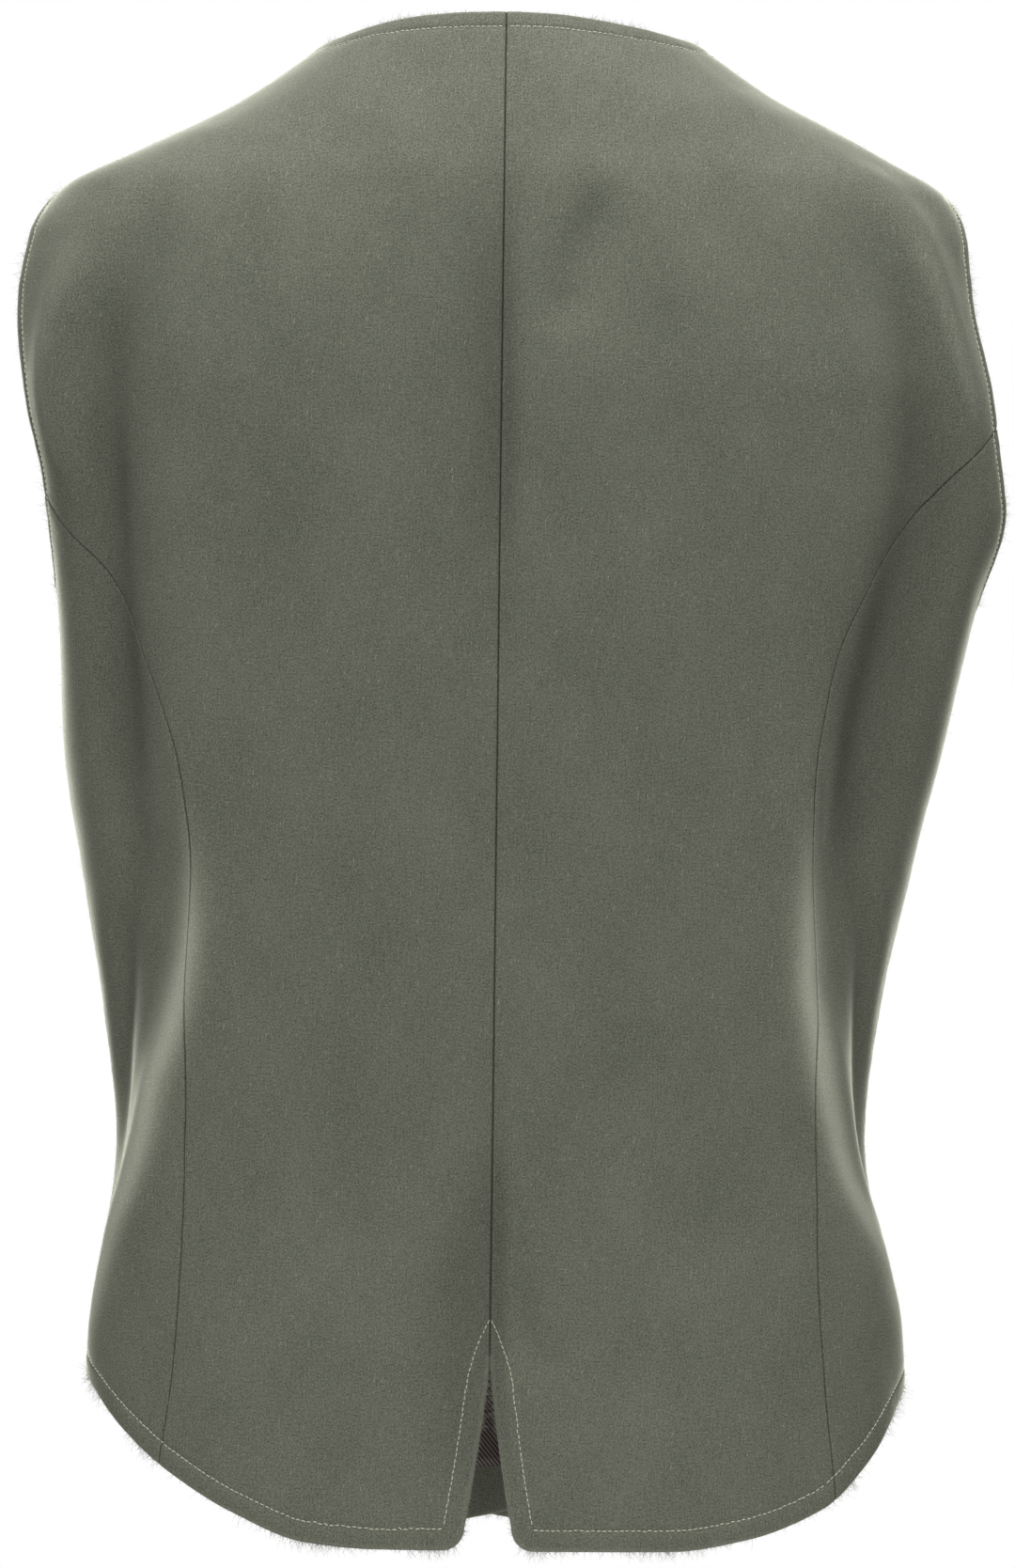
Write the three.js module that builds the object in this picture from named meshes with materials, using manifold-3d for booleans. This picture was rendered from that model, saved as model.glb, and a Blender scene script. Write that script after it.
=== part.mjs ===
// A collarless, sleeveless folk-dress vest in wool cloth, filled out as when it is worn.
// Millimetres, +Z up, +Y towards the wearer's back, +X towards the wearer's left.
// The origin lies midway between the two shoulder seams, at the height where the shoulders carry the vest.
//
// The cloth follows a general torso form. A place on the form is an angle round the body (0 centre back,
// 90 side, 180 centre front, in degrees) and a drop (millimetres below the nape, read at the centre back).
import * as THREE from 'three';
import { mergeVertices } from 'three/addons/utils/BufferGeometryUtils.js';
import Module from 'manifold-3d';

// ---- Driving dimensions -------------------------------------------------------------------------------
const BACK_LENGTH = 583; // nape to hem, straight down
const NAPE_HEIGHT = 41; // nape above the origin
const CLOTH = 1.6; // wool cloth with its turned-in edge
const LINING = 0.8;
const SEAM_GAP = 0.34; // between two pieces at a seam
const LAYER_GAP = 0.45; // between a lining, or the upper front, and the cloth under it

const ARMHOLE = { top: 66, bottom: 224, backReach: 13, frontReach: 21 }; // drops, and reach in degrees
const VENT = { top: 511, spread: 10.4, corner: 8 }; // drop of its top, half-opening at the hem, corner radius
const FRONT_OPENING = { vDepth: 286, overlap: 13, point: 38, pointDrop: 606, edgeDrop: 596 };
const SIDE_HEM = 518; // drop of the hem at the side seams
const SIDE_SEAM_PULL = 5; // degrees that the waist draws the side seam backwards

const BUTTON = { radius: 9, thickness: 3.2, rim: 1.7, dish: 0.9, hole: 1.0, holeRing: 2.1, sides: 16 };
const BUTTON_ROW = { first: 302, step: 60, count: 5 };

// ---- The worn form ------------------------------------------------------------------------------------
// Each row is one ring round the body: drop at the centre back, at the side and at the centre front, half
// the width to the wearer's left and right, and how far the ring reaches back and forward of the side line.
const RINGS = [
  { drop: 0, side: 7, front: 62, left: 71, right: 76, back: 50, fore: 66 },
  { drop: 20, side: 27, front: 77, left: 98, right: 105, back: 62, fore: 77 },
  { drop: 36, side: 40, front: 90, left: 121, right: 130, back: 70, fore: 85 },
  { drop: 52, side: 53, front: 101, left: 149, right: 153, back: 77, fore: 92 },
  { drop: 66, side: 66, front: 112, left: 174, right: 174, back: 83, fore: 97 },
  { drop: 86, side: 86, front: 126, left: 189, right: 185, back: 89, fore: 103 },
  { drop: 115, side: 115, front: 146, left: 195, right: 190, back: 95, fore: 110 },
  { drop: 150, side: 150, front: 170, left: 190.5, right: 198, back: 99, fore: 118 },
  { drop: 185, side: 185, front: 197, left: 180, right: 200, back: 100, fore: 123 },
  { drop: 224, side: 224, front: 229, left: 173, right: 187, back: 99, fore: 125 },
  { drop: 284, side: 284, front: 285, left: 169, right: 173, back: 92, fore: 122 },
  { drop: 342, side: 342, front: 342, left: 160, right: 159, back: 83, fore: 112 },
  { drop: 385, side: 385, front: 385, left: 153, right: 150.5, back: 79, fore: 105 },
  { drop: 430, side: 430, front: 430, left: 148, right: 146, back: 80, fore: 104 },
  { drop: 503, side: 503, front: 503, left: 155, right: 159, back: 89, fore: 110 },
  { drop: 620, side: 620, front: 620, left: 162, right: 168, back: 99, fore: 117 },
];

// How boxy the rings are, at the back and at the front: 2 is an ellipse.
const BOXINESS = [
  { drop: 0, back: 2.0, front: 2.0 },
  { drop: 66, back: 2.3, front: 2.1 },
  { drop: 150, back: 2.8, front: 2.3 },
  { drop: 430, back: 2.8, front: 2.3 },
  { drop: 620, back: 2.6, front: 2.3 },
];

// The curved back seams: their distances from the centre back. Each starts at the armhole.
const PRINCESS_TOP = { left: 186, right: 157 };
const PRINCESS = [
  { drop: 180, left: 178, right: 174 },
  { drop: 202, left: 166, right: 156.5 },
  { drop: 220, left: 153.5, right: 143.5 },
  { drop: 245, left: 139.5, right: 130 },
  { drop: 268, left: 128, right: 124.5 },
  { drop: 292, left: 119.5, right: 120.5 },
  { drop: 329, left: 114, right: 119.3 },
  { drop: 392, left: 115.8, right: 120.6 },
  { drop: 479, left: 117.8, right: 124.2 },
  { drop: BACK_LENGTH, left: 128, right: 133 },
];

// The hem round each half of the body, by angle.
const HEM = [
  { angle: 0, left: BACK_LENGTH, right: BACK_LENGTH },
  { angle: 24, left: BACK_LENGTH, right: BACK_LENGTH },
  { angle: 37, left: BACK_LENGTH - 2, right: BACK_LENGTH },
  { angle: 49, left: BACK_LENGTH - 12, right: BACK_LENGTH - 4 },
  { angle: 60, left: BACK_LENGTH - 27, right: BACK_LENGTH - 14 },
  { angle: 68, left: BACK_LENGTH - 40, right: BACK_LENGTH - 30 },
  { angle: 76, left: BACK_LENGTH - 53, right: BACK_LENGTH - 47 },
  { angle: 84, left: SIDE_HEM + 3, right: SIDE_HEM + 7 },
  { angle: 90, left: SIDE_HEM, right: SIDE_HEM },
  { angle: 110, left: SIDE_HEM + 6, right: SIDE_HEM + 6 },
  { angle: 135, left: SIDE_HEM + 38, right: SIDE_HEM + 38 },
  { angle: 150, left: SIDE_HEM + 66, right: SIDE_HEM + 66 },
];

// The largest folds: soft ridges (height above 0) and troughs on one or both sides of the body. Each runs
// along a line between two places [angle, drop], has a spread to each side, and fades out at its ends.
const BOTH = 0;
const LEFT = 1;
const RIGHT = -1;
const FOLDS = [
  // The back's bulge ends in a trough that runs from the armhole down past the waist.
  { body: LEFT, from: [62, 85], to: [65.5, 205], spread: 11, height: -8.5 },
  { body: LEFT, from: [66, 165], to: [67, 335], spread: 13, height: -7.5 },
  { body: LEFT, from: [67, 320], to: [82, 445], spread: 9, height: -4.5 },
  { body: RIGHT, from: [67, 90], to: [66, 205], spread: 12, height: -8.5 },
  { body: RIGHT, from: [66, 165], to: [65, 335], spread: 16, height: -9 },
  { body: RIGHT, from: [68, 320], to: [83, 450], spread: 9, height: -4.5 },
  // The armhole's rim stands up outside it.
  { body: LEFT, from: [68, 75], to: [71, 165], spread: 8, height: 3 },
  { body: RIGHT, from: [71, 60], to: [70.5, 160], spread: 8, height: 3.5 },
  // A ridge runs off the curved back seam at the waist towards the hip.
  { body: LEFT, from: [56, 270], to: [59, 390], spread: 9, height: 2.5 },
  { body: LEFT, from: [58, 350], to: [77, 480], spread: 8, height: 3 },
  { body: RIGHT, from: [56, 270], to: [60, 390], spread: 9, height: 2.5 },
  { body: RIGHT, from: [59, 345], to: [80, 475], spread: 8, height: 3 },
  // The centre back seam sinks in between the shoulder blades and over the vent.
  { body: LEFT, from: [0, 60], to: [1, 250], spread: 24, height: -4.5 },
  { body: RIGHT, from: [0, 60], to: [1, 250], spread: 8, height: -4.5 },
  { body: LEFT, from: [0, 400], to: [0, 580], spread: 24, height: -4 },
  { body: RIGHT, from: [0, 400], to: [0, 580], spread: 8, height: -4 },
  { body: RIGHT, from: [24, 68], to: [12, 130], spread: 11, height: -1.8 },
  { body: RIGHT, from: [6, 482], to: [17, 538], spread: 8, height: -2 },
  // Folds on the fronts.
  { body: BOTH, from: [128, 120], to: [108, 215], spread: 20, height: -5 },
  { body: BOTH, from: [140, 340], to: [100, 455], spread: 17, height: 3.5 },
  { body: BOTH, from: [142, 290], to: [143, 470], spread: 7, height: -2 },
];
const DEGREE_ARC = 2.5; // millimetres of cloth to a degree, near enough to place folds

// Grid cells along each stretch of a panel's outline. Neighbours share their seam's points.
const CELLS = { seam: 23, backArmhole: 8, frontArmhole: 12, vent: 5, neck: 10, shoulder: 6, side: 5, point: 3 };
const RELAX_ROUNDS = 3;

// ---- Helpers ------------------------------------------------------------------------------------------
const radians = THREE.MathUtils.degToRad;
const { lerp, clamp, smoothstep } = THREE.MathUtils;

// A smooth curve through one column of a table, without overshoot (monotone cubic).
function curveOf(table, key, column) {
  const x = table.map((row) => row[key]);
  const y = table.map((row) => row[column]);
  const slope = x.slice(1).map((_, i) => (y[i + 1] - y[i]) / (x[i + 1] - x[i]));
  const tangent = x.map((_, i) => {
    if (i === 0) return slope[0];
    if (i === x.length - 1) return slope[i - 1];
    if (slope[i - 1] * slope[i] <= 0) return 0;
    const before = x[i] - x[i - 1];
    const after = x[i + 1] - x[i];
    const near = 2 * after + before;
    const far = after + 2 * before;
    return (near + far) / (near / slope[i - 1] + far / slope[i]);
  });
  return (at) => {
    const i = clamp(x.findLastIndex((value) => value <= at), 0, x.length - 2);
    const width = x[i + 1] - x[i];
    const t = (at - x[i]) / width;
    const rise = (2 * t ** 3 - 3 * t ** 2 + 1) * y[i] + (3 * t ** 2 - 2 * t ** 3) * y[i + 1];
    return rise + width * ((t ** 3 - 2 * t ** 2 + t) * tangent[i] + (t ** 3 - t ** 2) * tangent[i + 1]);
  };
}

const curvesOf = (table) =>
  Object.fromEntries(Object.keys(table[0]).map((name) => [name, curveOf(table, 'drop', name)]));
const ring = curvesOf(RINGS);
const boxiness = curvesOf(BOXINESS);

// A point of the smooth form, on the wearer's left or right. Angles past 180 cross the centre front.
function formPoint(body, angle, drop) {
  const sine = Math.sin(radians(angle));
  const cosine = Math.cos(radians(angle));
  const isBack = angle < 90;
  const half = body === LEFT ? ring.left(drop) : ring.right(drop);
  const box = isBack ? boxiness.back(drop) : boxiness.front(drop);
  const reach = isBack ? ring.back(drop) : ring.fore(drop);
  const radius = (Math.abs(sine / half) ** box + Math.abs(cosine / reach) ** box) ** (-1 / box);
  const side = ring.side(drop);
  const height = lerp(isBack ? drop : ring.front(drop), side, Math.abs(sine) ** 3);
  return new THREE.Vector3(body * radius * sine, radius * cosine, NAPE_HEIGHT - height);
}

function formNormal(body, angle, drop) {
  const step = 0.5;
  const along = formPoint(body, angle + step, drop).sub(formPoint(body, angle - step, drop));
  const down = formPoint(body, angle, drop + step).sub(formPoint(body, angle, drop - step));
  return along.cross(down).normalize().multiplyScalar(body);
}

function foldHeight(body, angle, drop) {
  let height = 0;
  for (const fold of FOLDS) {
    if (fold.body !== BOTH && fold.body !== body) continue;
    const run = new THREE.Vector2((fold.to[0] - fold.from[0]) * DEGREE_ARC, fold.to[1] - fold.from[1]);
    const place = new THREE.Vector2((angle - fold.from[0]) * DEGREE_ARC, drop - fold.from[1]);
    const share = place.dot(run) / run.lengthSq();
    const aside = place.cross(run) / run.length();
    const fade = Math.sin(Math.PI * clamp((share + 0.15) / 1.3, 0, 1)) ** 1.3;
    height += fold.height * fade * Math.exp(-((aside / fold.spread) ** 2));
  }
  return height;
}

// The angle at which the form is a given distance from the centre line, on its back or front.
function angleAtWidth(body, width, drop, isFront = false) {
  let [low, high] = isFront ? [200, 90] : [0, 90];
  for (let i = 0; i < 40; i++) {
    const middle = (low + high) / 2;
    if (body * formPoint(body, middle, drop).x < width) low = middle;
    else high = middle;
  }
  return (low + high) / 2;
}

// ---- Panels -------------------------------------------------------------------------------------------
// Places spread evenly along joined stretches, each with its own number of cells. Steps up or down count
// twice, so that rows of cells stay level round the armholes.
function trace(body, ...stretches) {
  const places = [];
  for (const { curve, cells } of stretches) {
    const fine = Array.from({ length: 241 }, (_, i) => curve(i / 240));
    const lengths = [0];
    for (let i = 1; i < fine.length; i++) {
      const step = formPoint(body, ...fine[i]).distanceTo(formPoint(body, ...fine[i - 1]));
      lengths.push(lengths[i - 1] + step + Math.abs(fine[i][1] - fine[i - 1][1]));
    }
    const whole = lengths.at(-1);
    for (let cell = places.length ? 1 : 0; cell <= cells; cell++) {
      const target = (whole * cell) / cells;
      const i = clamp(lengths.findIndex((length) => length >= target), 1, fine.length - 1);
      const share = clamp((target - lengths[i - 1]) / (lengths[i] - lengths[i - 1] || 1), 0, 1);
      places.push([0, 1].map((axis) => lerp(fine[i - 1][axis], fine[i][axis], share)));
    }
  }
  return places;
}

// A grid of places filled in between the four sides of a panel (a Coons patch), then evened out. Rows run
// up from the hem, columns from the side nearer the centre back (rear) to the one nearer the front (fore).
function fill({ bottom, top, rear, fore }, relaxRounds = 0) {
  let grid = rear.map((_, row) =>
    bottom.map((_, column) => {
      const up = row / (rear.length - 1);
      const across = column / (bottom.length - 1);
      return [0, 1].map((axis) => {
        const ruledUp = lerp(bottom[column][axis], top[column][axis], up);
        const ruledAcross = lerp(rear[row][axis], fore[row][axis], across);
        const low = lerp(bottom[0][axis], bottom.at(-1)[axis], across);
        const high = lerp(top[0][axis], top.at(-1)[axis], across);
        return ruledUp + ruledAcross - lerp(low, high, up);
      });
    }),
  );
  for (let round = 0; round < relaxRounds; round++) {
    grid = grid.map((line, row) =>
      line.map((place, column) => {
        const onEdge = row === 0 || column === 0 || row === grid.length - 1 || column === line.length - 1;
        if (onEdge) return place;
        const around = [grid[row - 1][column], grid[row + 1][column], line[column - 1], line[column + 1]];
        return [0, 1].map((axis) => around.reduce((sum, near) => sum + near[axis], 0) / 4);
      }),
    );
  }
  return grid;
}

// Pulls the seamed sides of a grid in by half the seam gap. Each side names its first and last seamed point.
function easeSeams(body, grid, seams) {
  const rows = grid.length - 1;
  const columns = grid[0].length - 1;
  const moved = grid.map((line) => line.map((place) => [...place]));
  const point = ([row, column]) => formPoint(body, ...grid[row][column]);
  const shift = (here, inner, before, after) => {
    const seam = point(after).sub(point(before)).normalize();
    const clear = point(inner).sub(point(here)).cross(seam).length();
    for (const axis of [0, 1]) {
      const step = grid[inner[0]][inner[1]][axis] - grid[here[0]][here[1]][axis];
      moved[here[0]][here[1]][axis] += (step * SEAM_GAP) / 2 / clear;
    }
  };
  for (const { side, first, last } of seams) {
    for (let i = first; i <= last; i++) {
      const [before, after] = [Math.max(i - 1, first), Math.min(i + 1, last)];
      if (side === 'rear') shift([i, 0], [i, 1], [before, 0], [after, 0]);
      if (side === 'fore') shift([i, columns], [i, columns - 1], [before, columns], [after, columns]);
      if (side === 'top') shift([rows, i], [rows - 1, i], [rows, before], [rows, after]);
    }
  }
  return moved;
}

// The grids of the panels on one side of the body, each between its outline's stretches. A stretch is a
// function from 0..1 to a place [angle, drop].
function panelGrids(body) {
  const sideName = body === LEFT ? 'left' : 'right';
  const at = (width, drop, isFront) => angleAtWidth(body, width, drop, isFront);

  // The armhole is an oval about the side line; turn runs from 0 at the shoulder to 1 at the armpit.
  const armhole = (turn, reach) => {
    const middle = (ARMHOLE.top + ARMHOLE.bottom) / 2;
    const half = (ARMHOLE.bottom - ARMHOLE.top) / 2;
    return [90 + reach * Math.sin(Math.PI * turn), middle - half * Math.cos(Math.PI * turn)];
  };
  const topShare = (PRINCESS_TOP[sideName] - ARMHOLE.top) / (ARMHOLE.bottom - ARMHOLE.top);
  const junctionTurn = Math.acos(1 - 2 * topShare) / Math.PI;
  const junction = armhole(junctionTurn, -ARMHOLE.backReach);

  const start = { drop: PRINCESS_TOP[sideName], [sideName]: body * formPoint(body, ...junction).x };
  const below = PRINCESS.filter((row) => row.drop > start.drop + 8);
  const princessWidth = curveOf([start, ...below], 'drop', sideName);
  const hemDrop = curveOf(HEM, 'angle', sideName);
  let princessHem = BACK_LENGTH;
  for (let i = 0; i < 20; i++) princessHem = hemDrop(at(princessWidth(princessHem), princessHem));
  const princess = (t) => {
    const drop = lerp(princessHem, start.drop, t);
    return [at(princessWidth(drop), drop), drop];
  };
  const sideSeam = (t) => {
    const drop = lerp(SIDE_HEM, ARMHOLE.bottom, t);
    return [90 - SIDE_SEAM_PULL * Math.sin(Math.PI * t) ** 2, drop];
  };
  const hemBetween = (from, to) => (t) => {
    const angle = lerp(from, to, t);
    return [angle, hemDrop(angle)];
  };
  const neckline = (t) => [90 * t, 0];
  const shoulder = (t) => [90, lerp(0, ARMHOLE.top, t)];
  const centreBack = (from, to) => (t) => [0, lerp(from, to, t)];

  // The vent opens from the centre seam down to the hem, bowing outwards, and turns a round corner.
  const edgeEnd = BACK_LENGTH - VENT.corner;
  const ventWidth = (drop) => VENT.spread * ((drop - VENT.top) / (BACK_LENGTH - VENT.top)) ** 1.3;
  const ventCorner = (bend) => {
    const width = ventWidth(edgeEnd) + VENT.corner * (1 - Math.cos(bend));
    const drop = edgeEnd + VENT.corner * Math.sin(bend);
    return [at(width, drop), drop];
  };
  const edgeBend = 0.1;
  const ventEdge = (t) => {
    if (t < edgeBend) return ventCorner(lerp(Math.PI / 4, 0, t / edgeBend));
    const drop = lerp(edgeEnd, VENT.top, (t - edgeBend) / (1 - edgeBend));
    return [at(ventWidth(drop), drop), drop];
  };
  const hemBend = 0.06;
  const backHem = (t) => {
    if (t < hemBend) return ventCorner(lerp(Math.PI / 4, Math.PI / 2, t / hemBend));
    return hemBetween(ventCorner(Math.PI / 2)[0], princess(0)[0])((t - hemBend) / (1 - hemBend));
  };

  // The front edge: straight up beside the centre front, then the V to the neck point.
  const { vDepth, overlap, point, pointDrop, edgeDrop } = FRONT_OPENING;
  const frontEdge = (t) => {
    const drop = lerp(edgeDrop, vDepth, t);
    return [at(-overlap, drop, true), drop];
  };
  const vEdge = (t) => {
    const drop = vDepth * (1 - t);
    return t === 1 ? [90, 0] : [at(lerp(-overlap, ring[sideName](0), t ** 0.92), drop, true), drop];
  };
  const pointAngle = at(point, pointDrop, true);
  const hemToPoint = (t) => {
    const towardsPoint = smoothstep(t, 0.3, 1) ** 1.2;
    const angle = lerp(90, pointAngle, t);
    return [angle, lerp(hemDrop(Math.min(angle, 150)), pointDrop, towardsPoint)];
  };
  const pointToEdge = (t) => {
    const drop = lerp(pointDrop, edgeDrop, t);
    return [at(lerp(point, -overlap, t), drop, true), drop];
  };

  const seamRows = CELLS.seam;
  const backRows = seamRows + CELLS.backArmhole + CELLS.shoulder;
  const back = fill({
    bottom: trace(body, { curve: backHem, cells: CELLS.neck }),
    top: trace(body, { curve: neckline, cells: CELLS.neck }),
    rear: trace(
      body,
      { curve: ventEdge, cells: CELLS.vent },
      { curve: centreBack(VENT.top, start.drop), cells: seamRows - CELLS.vent },
      { curve: centreBack(start.drop, 0), cells: backRows - seamRows },
    ),
    fore: trace(
      body,
      { curve: princess, cells: seamRows },
      { curve: (t) => armhole(junctionTurn * (1 - t), -ARMHOLE.backReach), cells: CELLS.backArmhole },
      { curve: (t) => shoulder(1 - t), cells: CELLS.shoulder },
    ),
  });
  const side = fill({
    bottom: trace(body, { curve: hemBetween(princess(0)[0], 90), cells: CELLS.side }),
    top: trace(body, {
      curve: (t) => armhole(lerp(junctionTurn, 1, t), -ARMHOLE.backReach),
      cells: CELLS.side,
    }),
    rear: trace(body, { curve: princess, cells: seamRows }),
    fore: trace(body, { curve: sideSeam, cells: seamRows }),
  });
  const front = fill({
    bottom: trace(
      body,
      { curve: hemToPoint, cells: 2 * CELLS.shoulder - CELLS.point },
      { curve: pointToEdge, cells: CELLS.point },
    ),
    top: trace(body, { curve: (t) => shoulder(1 - t), cells: 2 * CELLS.shoulder }),
    rear: trace(
      body,
      { curve: sideSeam, cells: seamRows },
      { curve: (t) => armhole(1 - t, ARMHOLE.frontReach), cells: CELLS.frontArmhole },
    ),
    fore: trace(
      body,
      { curve: frontEdge, cells: seamRows },
      { curve: vEdge, cells: CELLS.frontArmhole },
    ),
  }, RELAX_ROUNDS);
  return {
    back: easeSeams(body, back, [
      { side: 'rear', first: CELLS.vent, last: backRows },
      { side: 'fore', first: 0, last: seamRows },
      { side: 'fore', first: seamRows + CELLS.backArmhole, last: backRows },
    ]),
    side: easeSeams(body, side, [
      { side: 'rear', first: 0, last: seamRows },
      { side: 'fore', first: 0, last: seamRows },
    ]),
    front: easeSeams(body, front, [
      { side: 'rear', first: 0, last: seamRows },
      { side: 'top', first: 0, last: 2 * CELLS.shoulder },
    ]),
  };
}

// Points of a panel's grid on the worn form, at a depth under the cloth's outer face.
function layPanel(grid, body, depth) {
  return grid.map((line) =>
    line.map(([angle, drop]) => {
      const point = formPoint(body, angle, drop);
      const height = foldHeight(body, angle, drop) - depth(body * point.x);
      return point.addScaledVector(formNormal(body, angle, drop), height);
    }),
  );
}

// A closed wall between two grids of points, with its rim.
function wallGeometry(outside, inside, body) {
  const rows = outside.length;
  const columns = outside[0].length;
  const position = [...outside.flat(), ...inside.flat()].flatMap((point) => point.toArray());
  const index = [];
  const quad = (a, b, c, d) => {
    if (body === LEFT) index.push(a, b, c, a, c, d);
    else index.push(a, c, b, a, d, c);
  };
  const out = (row, column) => row * columns + column;
  const under = (row, column) => rows * columns + out(row, column);
  // Each cell is cut along its shorter diagonal, in both skins.
  for (let row = 0; row < rows - 1; row++) {
    for (let column = 0; column < columns - 1; column++) {
      const cell = [[row, column], [row + 1, column], [row + 1, column + 1], [row, column + 1]];
      const [a, b, c, d] = cell.map(([i, j]) => outside[i][j]);
      if (a.distanceTo(c) > b.distanceTo(d)) cell.push(cell.shift());
      quad(...cell.map(([i, j]) => out(i, j)));
      cell.push(cell.shift());
      cell.reverse();
      quad(...cell.map(([i, j]) => under(i, j)));
    }
  }
  const rim = (edge) => {
    for (let i = 0; i < edge.length - 1; i++) {
      const [here, next] = [edge[i], edge[i + 1]];
      quad(out(...here), out(...next), under(...next), under(...here));
    }
  };
  const span = (count) => Array.from({ length: count }, (_, i) => i);
  rim(span(columns).map((column) => [0, column]));
  rim(span(rows).map((row) => [row, columns - 1]));
  rim(span(columns).reverse().map((column) => [rows - 1, column]));
  rim(span(rows).reverse().map((row) => [row, 0]));
  const geometry = new THREE.BufferGeometry();
  geometry.setAttribute('position', new THREE.Float32BufferAttribute(position, 3));
  geometry.setIndex(index);
  geometry.computeVertexNormals();
  return geometry;
}

function clothMesh(name, grid, body, material, { under = () => 0, thickness = CLOTH } = {}) {
  const outside = layPanel(grid, body, under);
  const inside = layPanel(grid, body, (x) => under(x) + thickness);
  const mesh = new THREE.Mesh(wallGeometry(outside, inside, body), material);
  mesh.name = name;
  return mesh;
}

// ---- Materials ----------------------------------------------------------------------------------------
const wool = new THREE.MeshStandardMaterial({ color: 0x666a5c, roughness: 0.95, metalness: 0 });
const satin = new THREE.MeshStandardMaterial({ color: 0x2c2226, roughness: 0.5, metalness: 0 });
const horn = new THREE.MeshStandardMaterial({ color: 0x3d3227, roughness: 0.4, metalness: 0 });

// ---- Pieces -------------------------------------------------------------------------------------------
// The wearer's right front laps over the left one, which dips under it near the centre front.
const OVERLAP_DIP = CLOTH + LAYER_GAP;
const { overlap: LAP } = FRONT_OPENING;
const dipUnder = (x) => OVERLAP_DIP * (1 - smoothstep(x, LAP + 5, LAP + 40));
const layUp = () => 0;

// The lining covers a front's inside, one cell in from its outline and two from its front edge's facing.
const liningGrid = (front) => front.slice(1, -1).map((line) => line.slice(1, -2));

function buttonGeometry(wasm) {
  const { radius, thickness, rim, dish, hole, holeRing, sides } = BUTTON;
  const profile = [
    [0, 0],
    [radius - rim, 0],
    [radius, thickness * 0.45],
    [radius - rim * 0.35, thickness],
    [radius - rim, thickness],
    [radius - rim * 1.7, thickness - dish],
    [0, thickness - dish],
  ].map(([x, y]) => new THREE.Vector2(x, y));
  let solid = toSolid(wasm, new THREE.LatheGeometry(profile, sides));
  for (let i = 0; i < 4; i++) {
    const cutter = new THREE.CylinderGeometry(hole, hole, 3 * thickness, 8);
    const angle = Math.PI / 4 + (i * Math.PI) / 2;
    cutter.translate(holeRing * Math.cos(angle), 0, holeRing * Math.sin(angle));
    solid = solid.subtract(toSolid(wasm, cutter));
  }
  const mesh = solid.getMesh();
  const geometry = new THREE.BufferGeometry();
  geometry.setAttribute('position', new THREE.BufferAttribute(mesh.vertProperties, 3));
  geometry.setIndex(new THREE.BufferAttribute(mesh.triVerts, 1));
  return geometry.toNonIndexed();
}

function toSolid(wasm, geometry) {
  geometry.deleteAttribute('normal');
  geometry.deleteAttribute('uv');
  const merged = mergeVertices(geometry, 1e-4);
  return new wasm.Manifold(
    new wasm.Mesh({
      numProp: 3,
      vertProperties: merged.attributes.position.array,
      triVerts: new Uint32Array(merged.index.array),
    }),
  );
}

// Buttons sit on the upper front along the centre front, facing outwards.
function buttonMesh(geometry, number) {
  const drop = BUTTON_ROW.first + (number - 1) * BUTTON_ROW.step;
  const normal = formNormal(RIGHT, 180, drop);
  const mesh = new THREE.Mesh(geometry, horn);
  mesh.name = `button_${number}`;
  mesh.quaternion.setFromUnitVectors(new THREE.Vector3(0, 1, 0), normal);
  mesh.position.copy(formPoint(RIGHT, 180, drop)).addScaledVector(normal, LAYER_GAP);
  return mesh;
}

const wasm = await Module();
wasm.setup();

const vest = new THREE.Group();
for (const [body, name] of [[LEFT, 'left'], [RIGHT, 'right']]) {
  const under = body === LEFT ? dipUnder : layUp;
  const grids = panelGrids(body);
  vest.add(clothMesh(`back_${name}`, grids.back, body, wool));
  vest.add(clothMesh(`side_back_${name}`, grids.side, body, wool));
  vest.add(clothMesh(`front_${name}`, grids.front, body, wool, { under }));
  const lining = { under: (x) => under(x) + CLOTH + LAYER_GAP, thickness: LINING };
  vest.add(clothMesh(`lining_${name}`, liningGrid(grids.front), body, satin, lining));
}
const button = buttonGeometry(wasm);
for (let number = 1; number <= BUTTON_ROW.count; number++) vest.add(buttonMesh(button, number));

export default vest;
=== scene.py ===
"""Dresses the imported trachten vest: wool shells, linings, topstitching, buttons, nap and the studio.

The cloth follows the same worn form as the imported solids. A place on a half of the form is an angle round the body
(0 centre back, 90 side, 180 centre front, in degrees) and a drop (metres below the nape, read at the centre back).
Sizes are in metres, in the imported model's frame: +Z up, +Y the back, +X the wearer's left.
"""
import logging
import math
from dataclasses import dataclass, field
from enum import Enum
from typing import Callable, Iterator, Sequence

import bmesh
import bpy
import numpy as np
from mathutils import Matrix, Vector
from mathutils.bvhtree import BVHTree
from mathutils.kdtree import KDTree


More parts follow.
